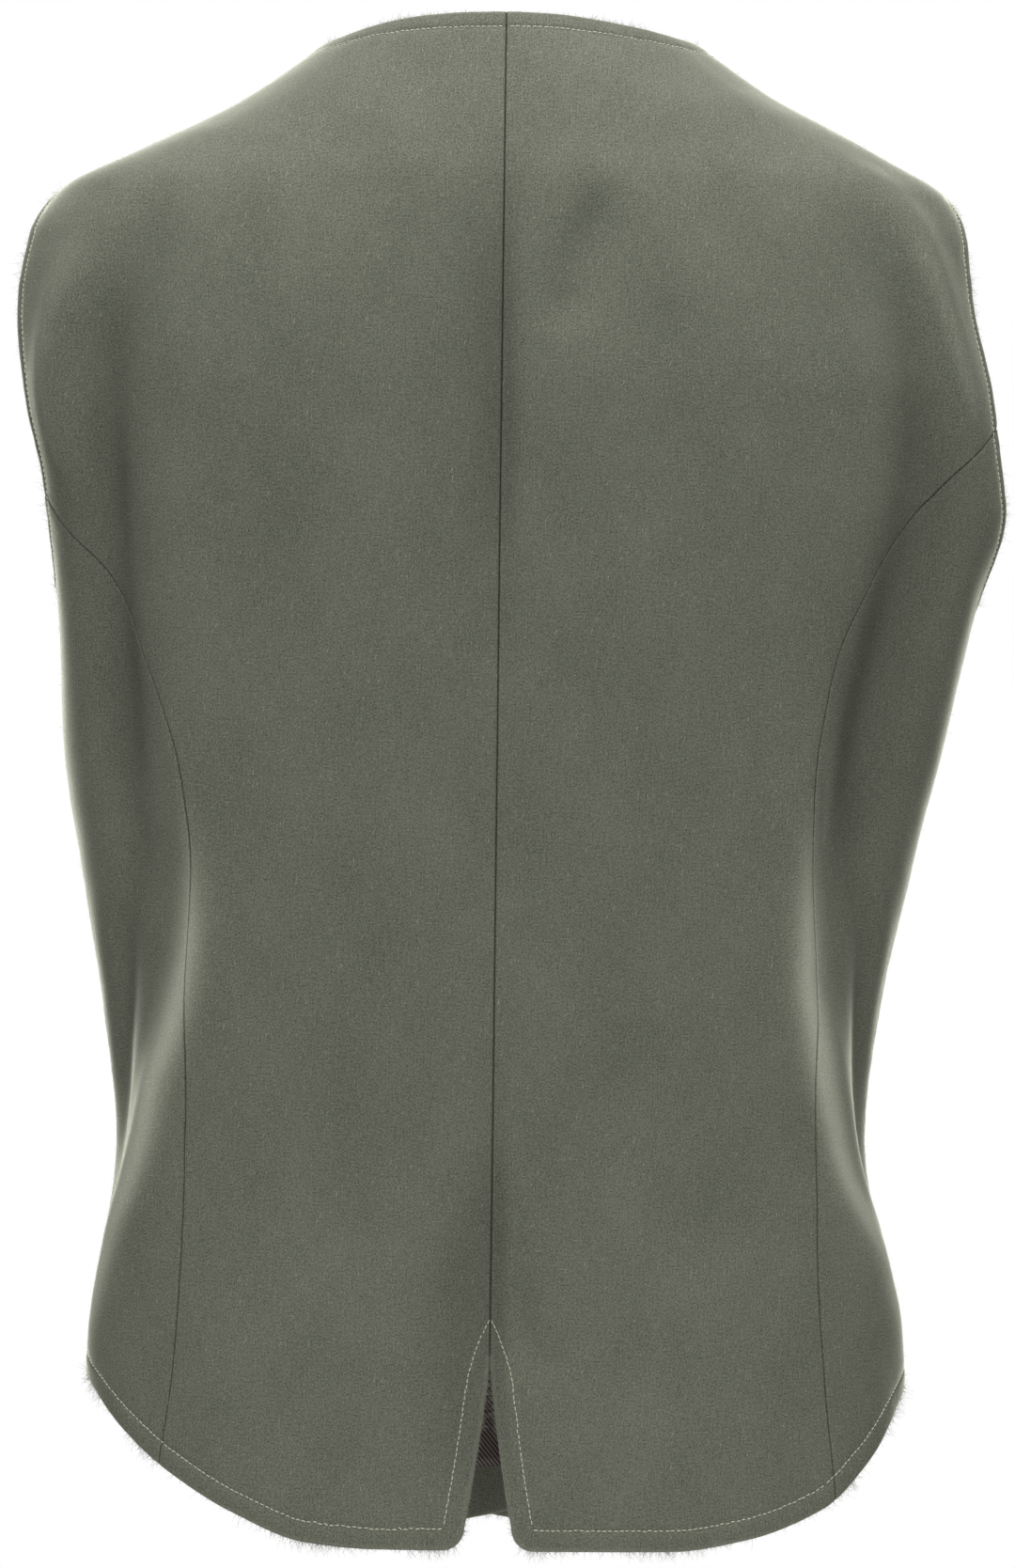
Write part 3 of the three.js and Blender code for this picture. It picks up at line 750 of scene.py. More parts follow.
@dataclass
class PanelCut:
    """A panel's four sides. Rows run up from the hem, columns from the rear, the side nearer the centre back.

    Its inner places are evened out as often as relax says.
    """

    form: HalfForm
    bottom: Sequence[Border]
    top: Sequence[Border]
    rear: Sequence[Border]
    fore: Sequence[Border]
    relax: int = 0

    def __post_init__(self) -> None:
        """Joins each side's borders."""
        self.tracks = [Track(self.form, borders) for borders in (self.bottom, self.top, self.rear, self.fore)]

    def ruled(self, rows: np.ndarray, columns: np.ndarray) -> Places:
        """Args:
            rows: Row numbers, which may have fractions.
            columns: Column numbers.

        Returns:
            The grid of places between the four sides (a Coons patch).
        """
        bottom, top, rear, fore = self.tracks
        up = (rows / rear.cells)[:, None, None]
        across = (columns / bottom.cells)[None, :, None]
        low, high = bottom.at(columns)[None], top.at(columns)[None]
        near, far = rear.at(rows)[:, None], fore.at(rows)[:, None]
        corners = mix(mix(low[:, :1], low[:, -1:], across), mix(high[:, :1], high[:, -1:], across), up)
        return mix(low, high, up) + mix(near, far, across) - corners

    def grid(self, rows: np.ndarray, columns: np.ndarray) -> Places:
        """Args:
            rows: Row numbers, from 0 to the last.
            columns: Column numbers, from 0 to the last.

        Returns:
            The grid of places, evened out inside.
        """
        fine = self.ruled(rows, columns)
        if not self.relax:
            return fine
        whole_rows = np.arange(self.tracks[2].cells + 1.0)
        whole_columns = np.arange(self.tracks[0].cells + 1.0)
        start = self.ruled(whole_rows, whole_columns)
        evened = start.copy()
        for _ in range(self.relax):
            around = evened[:-2, 1:-1] + evened[2:, 1:-1] + evened[1:-1, :-2] + evened[1:-1, 2:]
            evened[1:-1, 1:-1] = around / 4
        shift = evened - start
        for axis in (0, 1):
            across = np.stack([np.interp(columns, whole_columns, line) for line in shift[..., axis]])
            fine[..., axis] += np.stack([np.interp(rows, whole_rows, line) for line in across.T]).T
        return fine


@dataclass
class Pattern:
    """The outlines of the panels on one half of the body, as lines of places on the form."""

    form: HalfForm

    SEAM_CLEAR = 8 * MM
    ROUNDS = 20
    VENT_BOW = 1.3
    VENT_CORNER_SHARE = 0.1
    HEM_CORNER_SHARE = 0.06
    V_BOW = 0.92
    POINT_START = 0.3
    POINT_BOW = 1.2
    FRONT_HEM_END = 150

    def __post_init__(self) -> None:
        """Works out where the curved back seam starts and ends."""
        side = self.form.side
        self.hem = Curve([row.at for row in HEM], [BACK_LENGTH - getattr(row, side.word) * MM for row in HEM])
        self.seam_top = PRINCESS_TOP[side]
        reach = (self.seam_top - ARMHOLE_TOP) / (ARMHOLE_BOTTOM - ARMHOLE_TOP)
        self.junction = math.acos(1 - 2 * reach) / math.pi
        start = self.form.point(self.armhole(np.array(self.junction), -ARMHOLE_BACK))
        below = [row for row in PRINCESS if row.at * MM > self.seam_top + self.SEAM_CLEAR]
        self.princess_width = Curve(
            [self.seam_top] + [row.at * MM for row in below],
            [abs(start[0])] + [getattr(row, side.word) * MM for row in below],
        )
        self.princess_hem = BACK_LENGTH
        for _ in range(self.ROUNDS):
            place = self.form.at_width(self.princess_width(self.princess_hem), self.princess_hem)
            self.princess_hem = float(self.hem(place[0]))

    def armhole(self, turn: np.ndarray, reach: float) -> Places:
        """Returns places on the armhole's oval, reach degrees off the side line, by turn from shoulder to armpit."""
        middle, half = (ARMHOLE_TOP + ARMHOLE_BOTTOM) / 2, (ARMHOLE_BOTTOM - ARMHOLE_TOP) / 2
        return as_places(SIDE_ANGLE + reach * np.sin(math.pi * turn), middle - half * np.cos(math.pi * turn))

    def armhole_back(self, low: float, high: float) -> Stretch:
        """Returns a stretch of the armhole's back edge, from one turn to another."""
        return lambda t: self.armhole(mix(low, high, t), -ARMHOLE_BACK)

    def armhole_front(self, t: np.ndarray) -> Places:
        """Returns the armhole's front edge, up from the armpit at share t."""
        return self.armhole(1 - t, ARMHOLE_FRONT)

    def princess(self, t: np.ndarray) -> Places:
        """Returns the curved back seam, up from the hem at share t."""
        drop = mix(self.princess_hem, self.seam_top, t)
        return self.form.at_width(self.princess_width(drop), drop)

    def side_seam(self, t: np.ndarray) -> Places:
        """Returns the side seam, up from the hem at share t."""
        pull = SIDE_SEAM_PULL * np.sin(math.pi * t) ** 2
        return as_places(SIDE_ANGLE - pull, mix(SIDE_HEM, ARMHOLE_BOTTOM, t))

    def hem_between(self, low: float, high: float) -> Stretch:
        """Returns a stretch of the hem, from one angle to another."""
        return lambda t: as_places(mix(low, high, t), self.hem(mix(low, high, t)))

    def neckline(self, t: np.ndarray) -> Places:
        """Returns the back neckline, out from the centre back at share t."""
        return as_places(SIDE_ANGLE * t, 0.0)

    def shoulder(self, t: np.ndarray) -> Places:
        """Returns the shoulder seam, inwards from the armhole at share t."""
        return as_places(SIDE_ANGLE, ARMHOLE_TOP * (1 - t))

    def centre_back(self, low: float, high: float) -> Stretch:
        """Returns a stretch of the centre back seam, from one drop to another."""
        return lambda t: as_places(0.0, mix(low, high, t))

    def vent_width(self, drop: np.ndarray) -> np.ndarray:
        """Returns how far the vent's edge lies from the centre line at a drop."""
        share = np.clip((drop - VENT_TOP) / (BACK_LENGTH - VENT_TOP), 0, None)
        return VENT_SPREAD * share**self.VENT_BOW

    def vent_edge(self, t: np.ndarray) -> Places:
        """Returns the vent's edge above its corner, up at share t."""
        drop = mix(BACK_LENGTH - VENT_CORNER, VENT_TOP, t)
        return self.form.at_width(self.vent_width(drop), drop)

    def from_corner(self, t: np.ndarray, share: float, end: float, rest: Stretch) -> Places:
        """Args:
            t: Shares along the stretch, from the middle of the vent's lower corner.
            share: How much of the stretch is in the corner.
            end: The bend where the corner ends: 0 on the vent, a right angle on the hem.
            rest: What follows the corner.

        Returns:
            Places round the corner and on.
        """
        bend = mix(math.pi / 4, end, np.clip(t / share, 0, 1))
        drop = BACK_LENGTH - VENT_CORNER
        width = self.vent_width(drop) + VENT_CORNER * (1 - np.cos(bend))
        corner = self.form.at_width(width, drop + VENT_CORNER * np.sin(bend))
        return np.where((t < share)[..., None], corner, rest(np.clip((t - share) / (1 - share), 0, 1)))

    def vent(self, t: np.ndarray) -> Places:
        """Returns the vent's edge, up from the middle of its corner at share t."""
        return self.from_corner(t, self.VENT_CORNER_SHARE, 0.0, self.vent_edge)

    def back_hem(self, t: np.ndarray) -> Places:
        """Returns the back's hem, out from the middle of the vent's corner at share t."""
        drop = BACK_LENGTH - VENT_CORNER
        turned = self.form.at_width(self.vent_width(drop) + VENT_CORNER, drop + VENT_CORNER)
        hem = self.hem_between(float(turned[0]), self.seam_foot())
        return self.from_corner(t, self.HEM_CORNER_SHARE, math.pi / 2, hem)

    def seam_foot(self) -> float:
        """Returns the angle at which the curved back seam meets the hem."""
        return float(self.princess(np.array(0.0))[0])

    def front_edge(self, t: np.ndarray) -> Places:
        """Returns the front edge beside the centre front, up at share t."""
        return self.form.at_width(-OVERLAP, mix(EDGE_DROP, V_DEPTH, t), True)

    def v_edge(self, t: np.ndarray) -> Places:
        """Returns the V of the neck, up to the shoulder at share t."""
        width = mix(-OVERLAP, self.form.ring[self.form.side.word](0.0), t**self.V_BOW)
        places = self.form.at_width(width, V_DEPTH * (1 - t), True)
        places[..., 0] = np.where(t < 1, places[..., 0], SIDE_ANGLE)
        return places

    def hem_to_point(self, t: np.ndarray) -> Places:
        """Returns the front's hem, from the side seam to the point at share t."""
        tip = float(self.form.at_width(POINT_WIDTH, POINT_DROP, True)[0])
        angle = mix(SIDE_ANGLE, tip, t)
        hem = self.hem(np.minimum(angle, self.FRONT_HEM_END))
        return as_places(angle, mix(hem, POINT_DROP, smooth(t, self.POINT_START, 1) ** self.POINT_BOW))

    def point_to_edge(self, t: np.ndarray) -> Places:
        """Returns the front's hem, from the point to the front edge at share t."""
        return self.form.at_width(mix(POINT_WIDTH, -OVERLAP, t), mix(POINT_DROP, EDGE_DROP, t), True)

    def vent_stitch(self, t: np.ndarray) -> Places:
        """Returns the topstitching beside the vent, down from the centre back at share t."""
        drop = mix(VENT_STITCH_TOP, BACK_LENGTH - STITCH_INSET[Edge.HEM], t)
        fan = np.sin(math.pi / 2 * np.clip((drop - VENT_STITCH_TOP) / VENT_STITCH_FAN, 0, 1)) ** 0.9
        return self.form.at_width((self.vent_width(drop) + STITCH_INSET[Edge.VENT]) * fan, drop)

    def back_cut(self) -> PanelCut:
        """Returns the back panel's cut."""
        return PanelCut(
            self.form,
            bottom=[Border(self.back_hem, 10, Edge.HEM)],
            top=[Border(self.neckline, 10, Edge.NECK)],
            rear=[
                Border(self.vent, 5, Edge.VENT),
                Border(self.centre_back(VENT_TOP, self.seam_top), 18, Edge.SEAM),
                Border(self.centre_back(self.seam_top, 0.0), 14, Edge.SEAM),
            ],
            fore=[
                Border(self.princess, 23, Edge.SEAM),
                Border(self.armhole_back(self.junction, 0.0), 8, Edge.ARMHOLE),
                Border(self.shoulder, 6, Edge.SEAM),
            ],
        )

    def side_cut(self) -> PanelCut:
        """Returns the side back panel's cut."""
        return PanelCut(
            self.form,
            bottom=[Border(self.hem_between(self.seam_foot(), SIDE_ANGLE), 5, Edge.HEM)],
            top=[Border(self.armhole_back(self.junction, 1.0), 5, Edge.ARMHOLE)],
            rear=[Border(self.princess, 23, Edge.SEAM)],
            fore=[Border(self.side_seam, 23, Edge.SEAM)],
        )

    def front_cut(self) -> PanelCut:
        """Returns the front panel's cut."""
        return PanelCut(
            self.form,
            bottom=[Border(self.hem_to_point, 9, Edge.HEM), Border(self.point_to_edge, 3, Edge.HEM)],
            top=[Border(self.shoulder, 12, Edge.SEAM)],
            rear=[Border(self.side_seam, 23, Edge.SEAM), Border(self.armhole_front, 12, Edge.ARMHOLE)],
            fore=[Border(self.front_edge, 23, Edge.FRONT), Border(self.v_edge, 12, Edge.FRONT)],
            relax=3,
        )


# ---- Meshes ----
def linked(name: str, mesh: bpy.types.Mesh, materials: Sequence[Material] = ()) -> Object:
    """Args:
        name: The object's name.
        mesh: Its mesh.
        materials: Its material slots.

    Returns:
        The object, shaded smooth and linked into the scene.
    """
    for material in materials:
        mesh.materials.append(material)
    mesh.shade_smooth()
    piece = bpy.data.objects.new(name, mesh)
    bpy.context.scene.collection.objects.link(piece)
    return piece


def mesh_of(work: bmesh.types.BMesh, name: str) -> bpy.types.Mesh:
    """Args:
        work: A mesh being worked on, which is freed.
        name: The mesh's name.

    Returns:
        The finished mesh.
    """
    mesh = bpy.data.meshes.new(name)
    work.to_mesh(mesh)
    work.free()
    return mesh


def read_all(items: bpy.types.bpy_prop_collection, name: str, width: int = 1, kind: type = float) -> np.ndarray:
    """Args:
        items: The points, faces or corners of a mesh.
        name: A property of theirs.
        width: How many numbers it has.
        kind: What kind of number.

    Returns:
        The property of every item, one row each.
    """
    values = np.zeros(width * len(items), kind)
    items.foreach_get(name, values)
    return values.reshape(-1, width) if width > 1 else values


@dataclass
class Solid:
    """Points and faces gathered for one mesh; each array of faces has one number of corners."""

    points: Points
    faces: list[np.ndarray]

    def object(self, name: str, materials: Sequence[Material]) -> Object:
        """Args:
            name: The object's name.
            materials: Its material slots.

        Returns:
            The object.
        """
        mesh = bpy.data.meshes.new(name)
        mesh.from_pydata(self.points.tolist(), [], [face for part in self.faces for face in part.tolist()])
        return linked(name, mesh, materials)


def lay_map(piece: Object, flat: Places) -> None:
    """Gives a mesh its UV map, from each point's place on the flat cloth, in metres."""
    corners = read_all(piece.data.loops, "vertex_index", kind=int)
    piece.data.uv_layers.new(name="cloth").data.foreach_set("uv", flat[corners].ravel())


def grid_faces(rows: int, columns: int, start: int, flip: bool) -> np.ndarray:
    """Args:
        rows: Rows of points.
        columns: Columns of points.
        start: Number of the first point.
        flip: Whether the faces turn the other way.

    Returns:
        The grid's four-cornered faces.
    """
    number = start + np.arange(rows * columns).reshape(rows, columns)
    quads = np.stack([number[:-1, :-1], number[1:, :-1], number[1:, 1:], number[:-1, 1:]], axis=-1)
    quads = quads.reshape(-1, 4)
    return quads[:, ::-1] if flip else quads


def grid_border(rows: int, columns: int) -> tuple[np.ndarray, ...]:
    """Args:
        rows: Rows of a grid.
        columns: Its columns.

    Returns:
        The row and column numbers of its border, once round.
    """
    loop = [(0, i) for i in range(columns)] + [(i, columns - 1) for i in range(1, rows)]
    loop += [(rows - 1, i) for i in range(columns - 2, -1, -1)] + [(i, 0) for i in range(rows - 2, 0, -1)]
    return tuple(np.array(loop).T)


def shell(outer: Points, inner: Points, rim: Points, side: Side) -> Solid:
    """Args:
        outer: The outer face's grid of points.
        inner: The inner face's grid.
        rim: Points between the two, once round the border, or none.
        side: The half of the body.

    Returns:
        The closed shell.
    """
    rows, columns = outer.shape[:2]
    flip, count = side is Side.RIGHT, rows * columns
    number = np.arange(count).reshape(rows, columns)[grid_border(rows, columns)]
    middle = [2 * count + np.arange(len(rim))] if len(rim) else []
    rings = [number, *middle, number + count]
    after = np.roll(np.arange(len(number)), -1)
    walls = np.concatenate(
        [np.stack([top, top[after], low[after], low], axis=-1) for top, low in zip(rings, rings[1:])]
    )
    faces = [grid_faces(rows, columns, 0, flip), grid_faces(rows, columns, count, not flip)]
    return Solid(
        np.concatenate([outer.reshape(-1, 3), inner.reshape(-1, 3), rim]),
        faces + [walls[:, ::-1] if flip else walls],
    )


def tubes(paths: Points, up: Points, radius: Numbers, sides: int) -> Solid:
    """Args:
        paths: Centre lines, as (tubes, points, 3).
        up: A direction across each tube, as (tubes, 3).
        radius: Radius at each point of a line, or of every line.
        sides: Number of sides, 3 or 6.

    Returns:
        Closed tubes along the lines.
    """
    count, length = paths.shape[:2]
    ahead = unit(np.gradient(paths, axis=1))
    across = unit(np.cross(ahead, up[:, None]))
    over = np.cross(across, ahead)
    turn = 2 * math.pi * np.arange(sides) / sides
    radius = np.broadcast_to(radius, (count, length))[..., None, None]
    ring = across[:, :, None] * np.cos(turn)[:, None] + over[:, :, None] * np.sin(turn)[:, None]
    points = (paths[:, :, None] + ring * radius).reshape(-1, 3)
    number = np.arange(count * length * sides).reshape(count, length, sides)
    beside = np.roll(number, -1, axis=2)
    walls = np.stack([number[:, :-1], beside[:, :-1], beside[:, 1:], number[:, 1:]], axis=-1)
    faces = [walls.reshape(-1, 4)[:, ::-1]]
    for end in (number[:, 0], number[:, -1, ::-1]):
        faces += [end] if sides == 3 else [end[:, [0, 1, 2, 3]], end[:, [0, 3, 4, 5]]]
    return Solid(points, faces)


class NearLines:
    """Lines in space that know how far any point is from them."""

    PITCH = 0.2 * MM

    def __init__(self, lines: Sequence[Points], tags: Sequence[float] | None = None) -> None:
        """Args:
            lines: Each line's points.
            tags: A number that goes with each.
        """
        dense = [resampled(line, np.arange(0, along(line)[-1], self.PITCH)) for line in lines]
        self.tags = np.repeat(tags or [0.0] * len(dense), [len(line) for line in dense])
        self.tree = KDTree(len(self.tags))
        for number, point in enumerate(np.concatenate(dense)):
            self.tree.insert(point, number)
        self.tree.balance()

    def read(self, points: Points) -> tuple[np.ndarray, np.ndarray]:
        """Args:
            points: Where to measure.

        Returns:
            The distances to the nearest line, and that line's tag.
        """
        found = [self.tree.find(point)[1:] for point in points.reshape(-1, 3)]
        near = np.array([distance for _, distance in found])
        tags = self.tags[[number for number, _ in found]]
        return near.reshape(points.shape[:-1]), tags.reshape(points.shape[:-1])

    def distance(self, points: Points) -> np.ndarray:
        """Returns the distances to the nearest line."""
        return self.read(points)[0]


# ---- Sewing marks ----
@dataclass
class SewingMarks:
    """Where the seams, the finished edges and the topstitching of one half lie."""

    pattern: Pattern

    SAMPLES = 900
    TRIM = 0.15 * MM
    VENT_TRIM = 0.02
    CENTRE_TRIM = 0.1
    # A place inside the cloth for each edge: on the back, and on the front where the edge runs on there.
    INSIDE = {
        Edge.HEM: ((60.0, 400 * MM), (125.0, 400 * MM)),
        Edge.NECK: ((45.0, 60 * MM), (45.0, 60 * MM)),
        Edge.FRONT: ((150.0, 350 * MM), (150.0, 350 * MM)),
        Edge.ARMHOLE: ((40.0, 150 * MM), (135.0, 150 * MM)),
    }

    def __post_init__(self) -> None:
        """Lays out the lines and gets them ready to be measured from."""
        cut, form = self.pattern, self.pattern.form
        share = np.linspace(0, 1, self.SAMPLES)
        seams = [cut.centre_back(VENT_TOP, 0.0), cut.princess, cut.side_seam, cut.shoulder]
        self.edges: list[tuple[Edge, Places]] = [
            (Edge.VENT, cut.vent(share)),
            (Edge.HEM, cut.back_hem(share)),
            (Edge.HEM, cut.hem_between(cut.seam_foot(), SIDE_ANGLE)(share)),
            (Edge.HEM, cut.hem_to_point(share)),
            (Edge.HEM, cut.point_to_edge(share)),
            (Edge.FRONT, cut.front_edge(share)),
            (Edge.FRONT, cut.v_edge(share)),
            (Edge.NECK, cut.neckline(share)[::-1]),
            (Edge.ARMHOLE, cut.armhole_back(0.0, 1.0)(share)),
            (Edge.ARMHOLE, cut.armhole_front(share)),
        ]
        lines = {edge: [form.point(line) for kind, line in self.edges if kind is edge] for edge in STITCH_INSET}
        self.near = {edge: NearLines(points) for edge, points in lines.items()}
        self.seams = NearLines([form.point(seam(share)) for seam in seams])
        insets = [STITCH_INSET[edge] for edge, _ in self.edges]
        self.free = NearLines([form.point(line) for _, line in self.edges], insets)
        self.stitch_lines = self.lay_out_stitching(cut.vent_stitch(share))
        self.stitching = NearLines([form.point(line) for line in self.stitch_lines])

    def inset(self, places: Places, towards: tuple[float, float], reach: float) -> Places:
        """Args:
            places: A line on the form.
            towards: A place on the side that the line moves to.
            reach: How far it moves.

        Returns:
            The line beside the given one.
        """
        form = self.pattern.form
        points = form.point(places)
        across = unit(np.cross(form.normal(places), unit(np.gradient(points, axis=0))))
        middle = len(places) // 2
        sign = 1.0 if across[middle] @ (form.point(np.array(towards)) - points[middle]) > 0 else -1.0
        return form.moved(places, across * sign * reach)

    def lay_out_stitching(self, vent_line: Places) -> list[Places]:
        """Args:
            vent_line: The topstitching beside the vent.

        Returns:
            All lines of topstitching: each edge's line moved inwards and trimmed at the corners.
        """
        lines = [vent_line]
        for edge, line in self.edges:
            if edge is Edge.VENT:
                continue
            on_front = bool(line[len(line) // 2, 0] > SIDE_ANGLE)
            moved = self.inset(line, self.INSIDE[edge][on_front], STITCH_INSET[edge])
            start = vent_line[-1, 0] - self.VENT_TRIM if edge is Edge.HEM else self.CENTRE_TRIM
            keep = moved[:, 0] >= start
            points = self.pattern.form.point(moved)
            for other, near in self.near.items():
                if other is not Edge.VENT:
                    keep &= near.distance(points) > STITCH_INSET[other] - self.TRIM
            lines.append(moved[keep])
        return lines


@dataclass(frozen=True)
class SewnProfile:
    """How sewing shapes the cloth's outer face near its seams, edges and topstitching.

    Depths and rises are measured off the face, widths and reaches along it. The inside dip is the share of the
    seam's dip that the inner face shows.
    """

    seam_depth: float = 0.8 * MM
    seam_width: float = 0.3 * MM
    allowance_rise: float = 0.14 * MM
    allowance_middle: float = 4.0 * MM
    allowance_width: float = 2.5 * MM
    roll_depth: float = 0.62 * MM
    roll_width: float = 0.9 * MM
    puff: float = 0.3 * MM
    groove_depth: float = 0.34 * MM
    groove_width: float = 0.8 * MM
    pucker: Ripple = Ripple(7 * MM, 0.07 * MM, 11)
    pucker_reach: float = 6 * MM
    hem_wave: Ripple = Ripple(75 * MM, 0.7 * MM, 12)
    hem_wave_reach: float = 45 * MM
    inside_dip: float = 0.3

    def roll(self, edge: np.ndarray) -> np.ndarray:
        """Returns how far a finished edge rolls under, by the distance to it."""
        return self.roll_depth * np.clip(1 - edge / self.roll_width, 0, 1) ** 2

    def outer(self, marks: SewingMarks, points: Points, edge: np.ndarray, seam: np.ndarray) -> np.ndarray:
        """Args:
            marks: The half's sewing marks.
            points: Points of the form.
            edge: Their distances to a finished edge.
            seam: Their distances to a seam.

        Returns:
            How far sewing lifts the outer face there.
        """
        stitch = marks.stitching.distance(points)
        _, inset = marks.free.read(points)
        height = -self.seam_depth * bell(seam, self.seam_width)
        height += self.allowance_rise * bell(seam - self.allowance_middle, self.allowance_width)
        height -= self.roll(edge)
        height += self.puff * np.sin(math.pi * np.clip(edge / inset, 0, 1)) ** 0.8
        height -= self.groove_depth * bell(stitch, self.groove_width)
        height += bell(np.minimum(stitch, seam), self.pucker_reach) * self.pucker(points)
        height += bell(marks.near[Edge.HEM].distance(points), self.hem_wave_reach) * self.hem_wave(points)
        return height

    def inner(self, edge: np.ndarray, seam: np.ndarray) -> np.ndarray:
        """Returns how far the inner face comes back out, by the distances to an edge and a seam."""
        return self.roll(edge) + self.inside_dip * self.seam_depth * bell(seam, self.seam_width)


ROLL_LINES = (0.3 * MM, 0.8 * MM, 1.6 * MM)
SEAM_LINES = (0.2 * MM, 0.45 * MM, 0.8 * MM, 1.4 * MM, 2.4 * MM)
GROOVE_LINES = (-1.4 * MM, -0.7 * MM, 0.0, 0.7 * MM, 1.4 * MM)
CLOSEST_LINES = 0.1 * MM
CLOSE_SHARE = 0.45


def lines_by(edge: Edge) -> tuple[float, ...]:
    """Returns how far from an edge the grid needs lines, to hold its seam, roll or topstitching."""
    if edge is Edge.SEAM:
        return SEAM_LINES
    return ROLL_LINES + tuple(STITCH_INSET[edge] + line for line in GROOVE_LINES)


def spread(track: Track, step: float, low: Sequence[float], high: Sequence[float]) -> np.ndarray:
    """Args:
        track: The side along which the lines are counted.
        step: Distance wanted between lines.
        low: Shares of lines wanted near the start.
        high: Shares of lines wanted before the end.

    Returns:
        Cell numbers of the fine lines.
    """
    reach = track.length()
    wanted = [0.0, 1.0, *low, *(1 - share for share in high)]
    even = np.linspace(0, 1, round(reach / step) + 1)[1:-1]
    close = CLOSE_SHARE * step / reach
    wanted += [share for share in even if min(abs(share - other) for other in wanted) > close]
    kept = [0.0]
    for share in sorted(wanted):
        if share - kept[-1] > CLOSEST_LINES / reach:
            kept.append(share)
    kept[-1] = 1.0
    return np.array(kept) * track.cells


Dip = Callable[[np.ndarray], np.ndarray]


@dataclass
class ClothPanel:
    """One wool panel, as a thin shell on the form, with its lining as its inner face.

    The dip is how far it lies under the face, by distance from the centre line; the step is the size of its cells.
    """

    name: str
    drape: Drape
    cut: PanelCut
    marks: SewingMarks
    dip: Dip
    step: float
    is_lined: bool
    profile: SewnProfile = SewnProfile()

    VENT_FACING = 9 * MM
    FACING_EDGE = (0.3 * MM, 0.5 * MM)
    LINING_RISE = 0.45 * MM
    RIM_BULGE = 0.32 * MM
    RIM_REACH = 0.2 * MM

    def build(self, wool: Material, lining: Material) -> Object:
        """Args:
            wool: The wool's material.
            lining: The lining's material.

        Returns:
            The panel's object.
        """
        bottom, top, rear, fore = self.cut.tracks
        facing = [HEM_FACING / rear.length()]
        rows = spread(rear, self.step, bottom.shares(top) + facing, top.shares(bottom))
        columns = spread(bottom, self.step, rear.shares(fore), fore.shares(rear))
        places = self.cut.grid(rows, columns)
        base = self.drape.form.point(places)
        edge, inset = self.marks.free.read(base)
        seam = self.marks.seams.distance(base)
        under = self.dip(self.drape.form.side.value * base[..., 0])
        outer = self.drape.lay(places, self.profile.outer(self.marks, base, edge, seam) - under)
        lined = self.lined_share(edge, inset)
        depth = CLOTH - self.profile.inner(edge, seam) + self.LINING_RISE * lined
        inner = self.drape.lay(places, -under - depth)
        rim = self.rim(outer, inner, edge)
        piece = shell(outer, inner, rim, self.drape.form.side).object(self.name, [wool, lining])
        corner = (lined[:-1, :-1] + lined[1:, :-1] + lined[1:, 1:] + lined[:-1, 1:]) / 4
        slots = np.zeros(len(piece.data.polygons), int)
        slots[corner.size : 2 * corner.size] = (corner > 0.5).ravel()
        piece.data.polygons.foreach_set("material_index", slots)
        self.paint(piece, places, {"edge_mm": edge / MM, "seam_mm": seam / MM, "painted_light_and_shade": self.drape.painted_light_and_shade(places)})
        return piece

    def lined_share(self, edge: np.ndarray, inset: np.ndarray) -> np.ndarray:
        """Args:
            edge: Distances to a finished edge.
            inset: How far in that edge is stitched, which tells what it is.

        Returns:
            1 where the inner face shows the lining, 0 where it shows the wool's facing.
        """
        if not self.is_lined:
            return np.zeros(edge.shape)
        facing = np.full(edge.shape, EDGE_FACING)
        facing[inset == STITCH_INSET[Edge.HEM]] = HEM_FACING
        facing[inset == STITCH_INSET[Edge.VENT]] = self.VENT_FACING
        return smooth(edge, facing - self.FACING_EDGE[0], facing + self.FACING_EDGE[1])

    def rim(self, outer: Points, inner: Points, edge: np.ndarray) -> Points:
        """Args:
            outer: The outer face's grid of points.
            inner: The inner face's grid.
            edge: Distances to a finished edge.

        Returns:
            Points round the border between the faces, rounded out at the finished edges.
        """
        rows, columns = outer.shape[:2]
        at = grid_border(rows, columns)
        inward = (np.clip(at[0], 1, rows - 2), np.clip(at[1], 1, columns - 2))
        bulge = self.RIM_BULGE * np.clip(1 - edge[at] / self.RIM_REACH, 0, 1)
        return (outer[at] + inner[at]) / 2 + unit(outer[at] - outer[inward]) * bulge[:, None]

    def paint(self, piece: Object, places: Places, notes: dict[str, np.ndarray]) -> None:
        """Args:
            piece: The panel's object, which is given the cloth's map of metres and the notes.
            places: Its grid of places.
            notes: Numbers for each of them, by name, for the wool's colour.
        """
        at = grid_border(*places.shape[:2])
        flat = self.drape.flat(places)
        lay_map(piece, np.concatenate([flat.reshape(-1, 2), flat.reshape(-1, 2), flat[at]]))
        for name, grid in notes.items():
            note = piece.data.attributes.new(name, "FLOAT", "POINT")
            note.data.foreach_set("value", np.concatenate([grid.ravel(), grid.ravel(), grid[at]]))


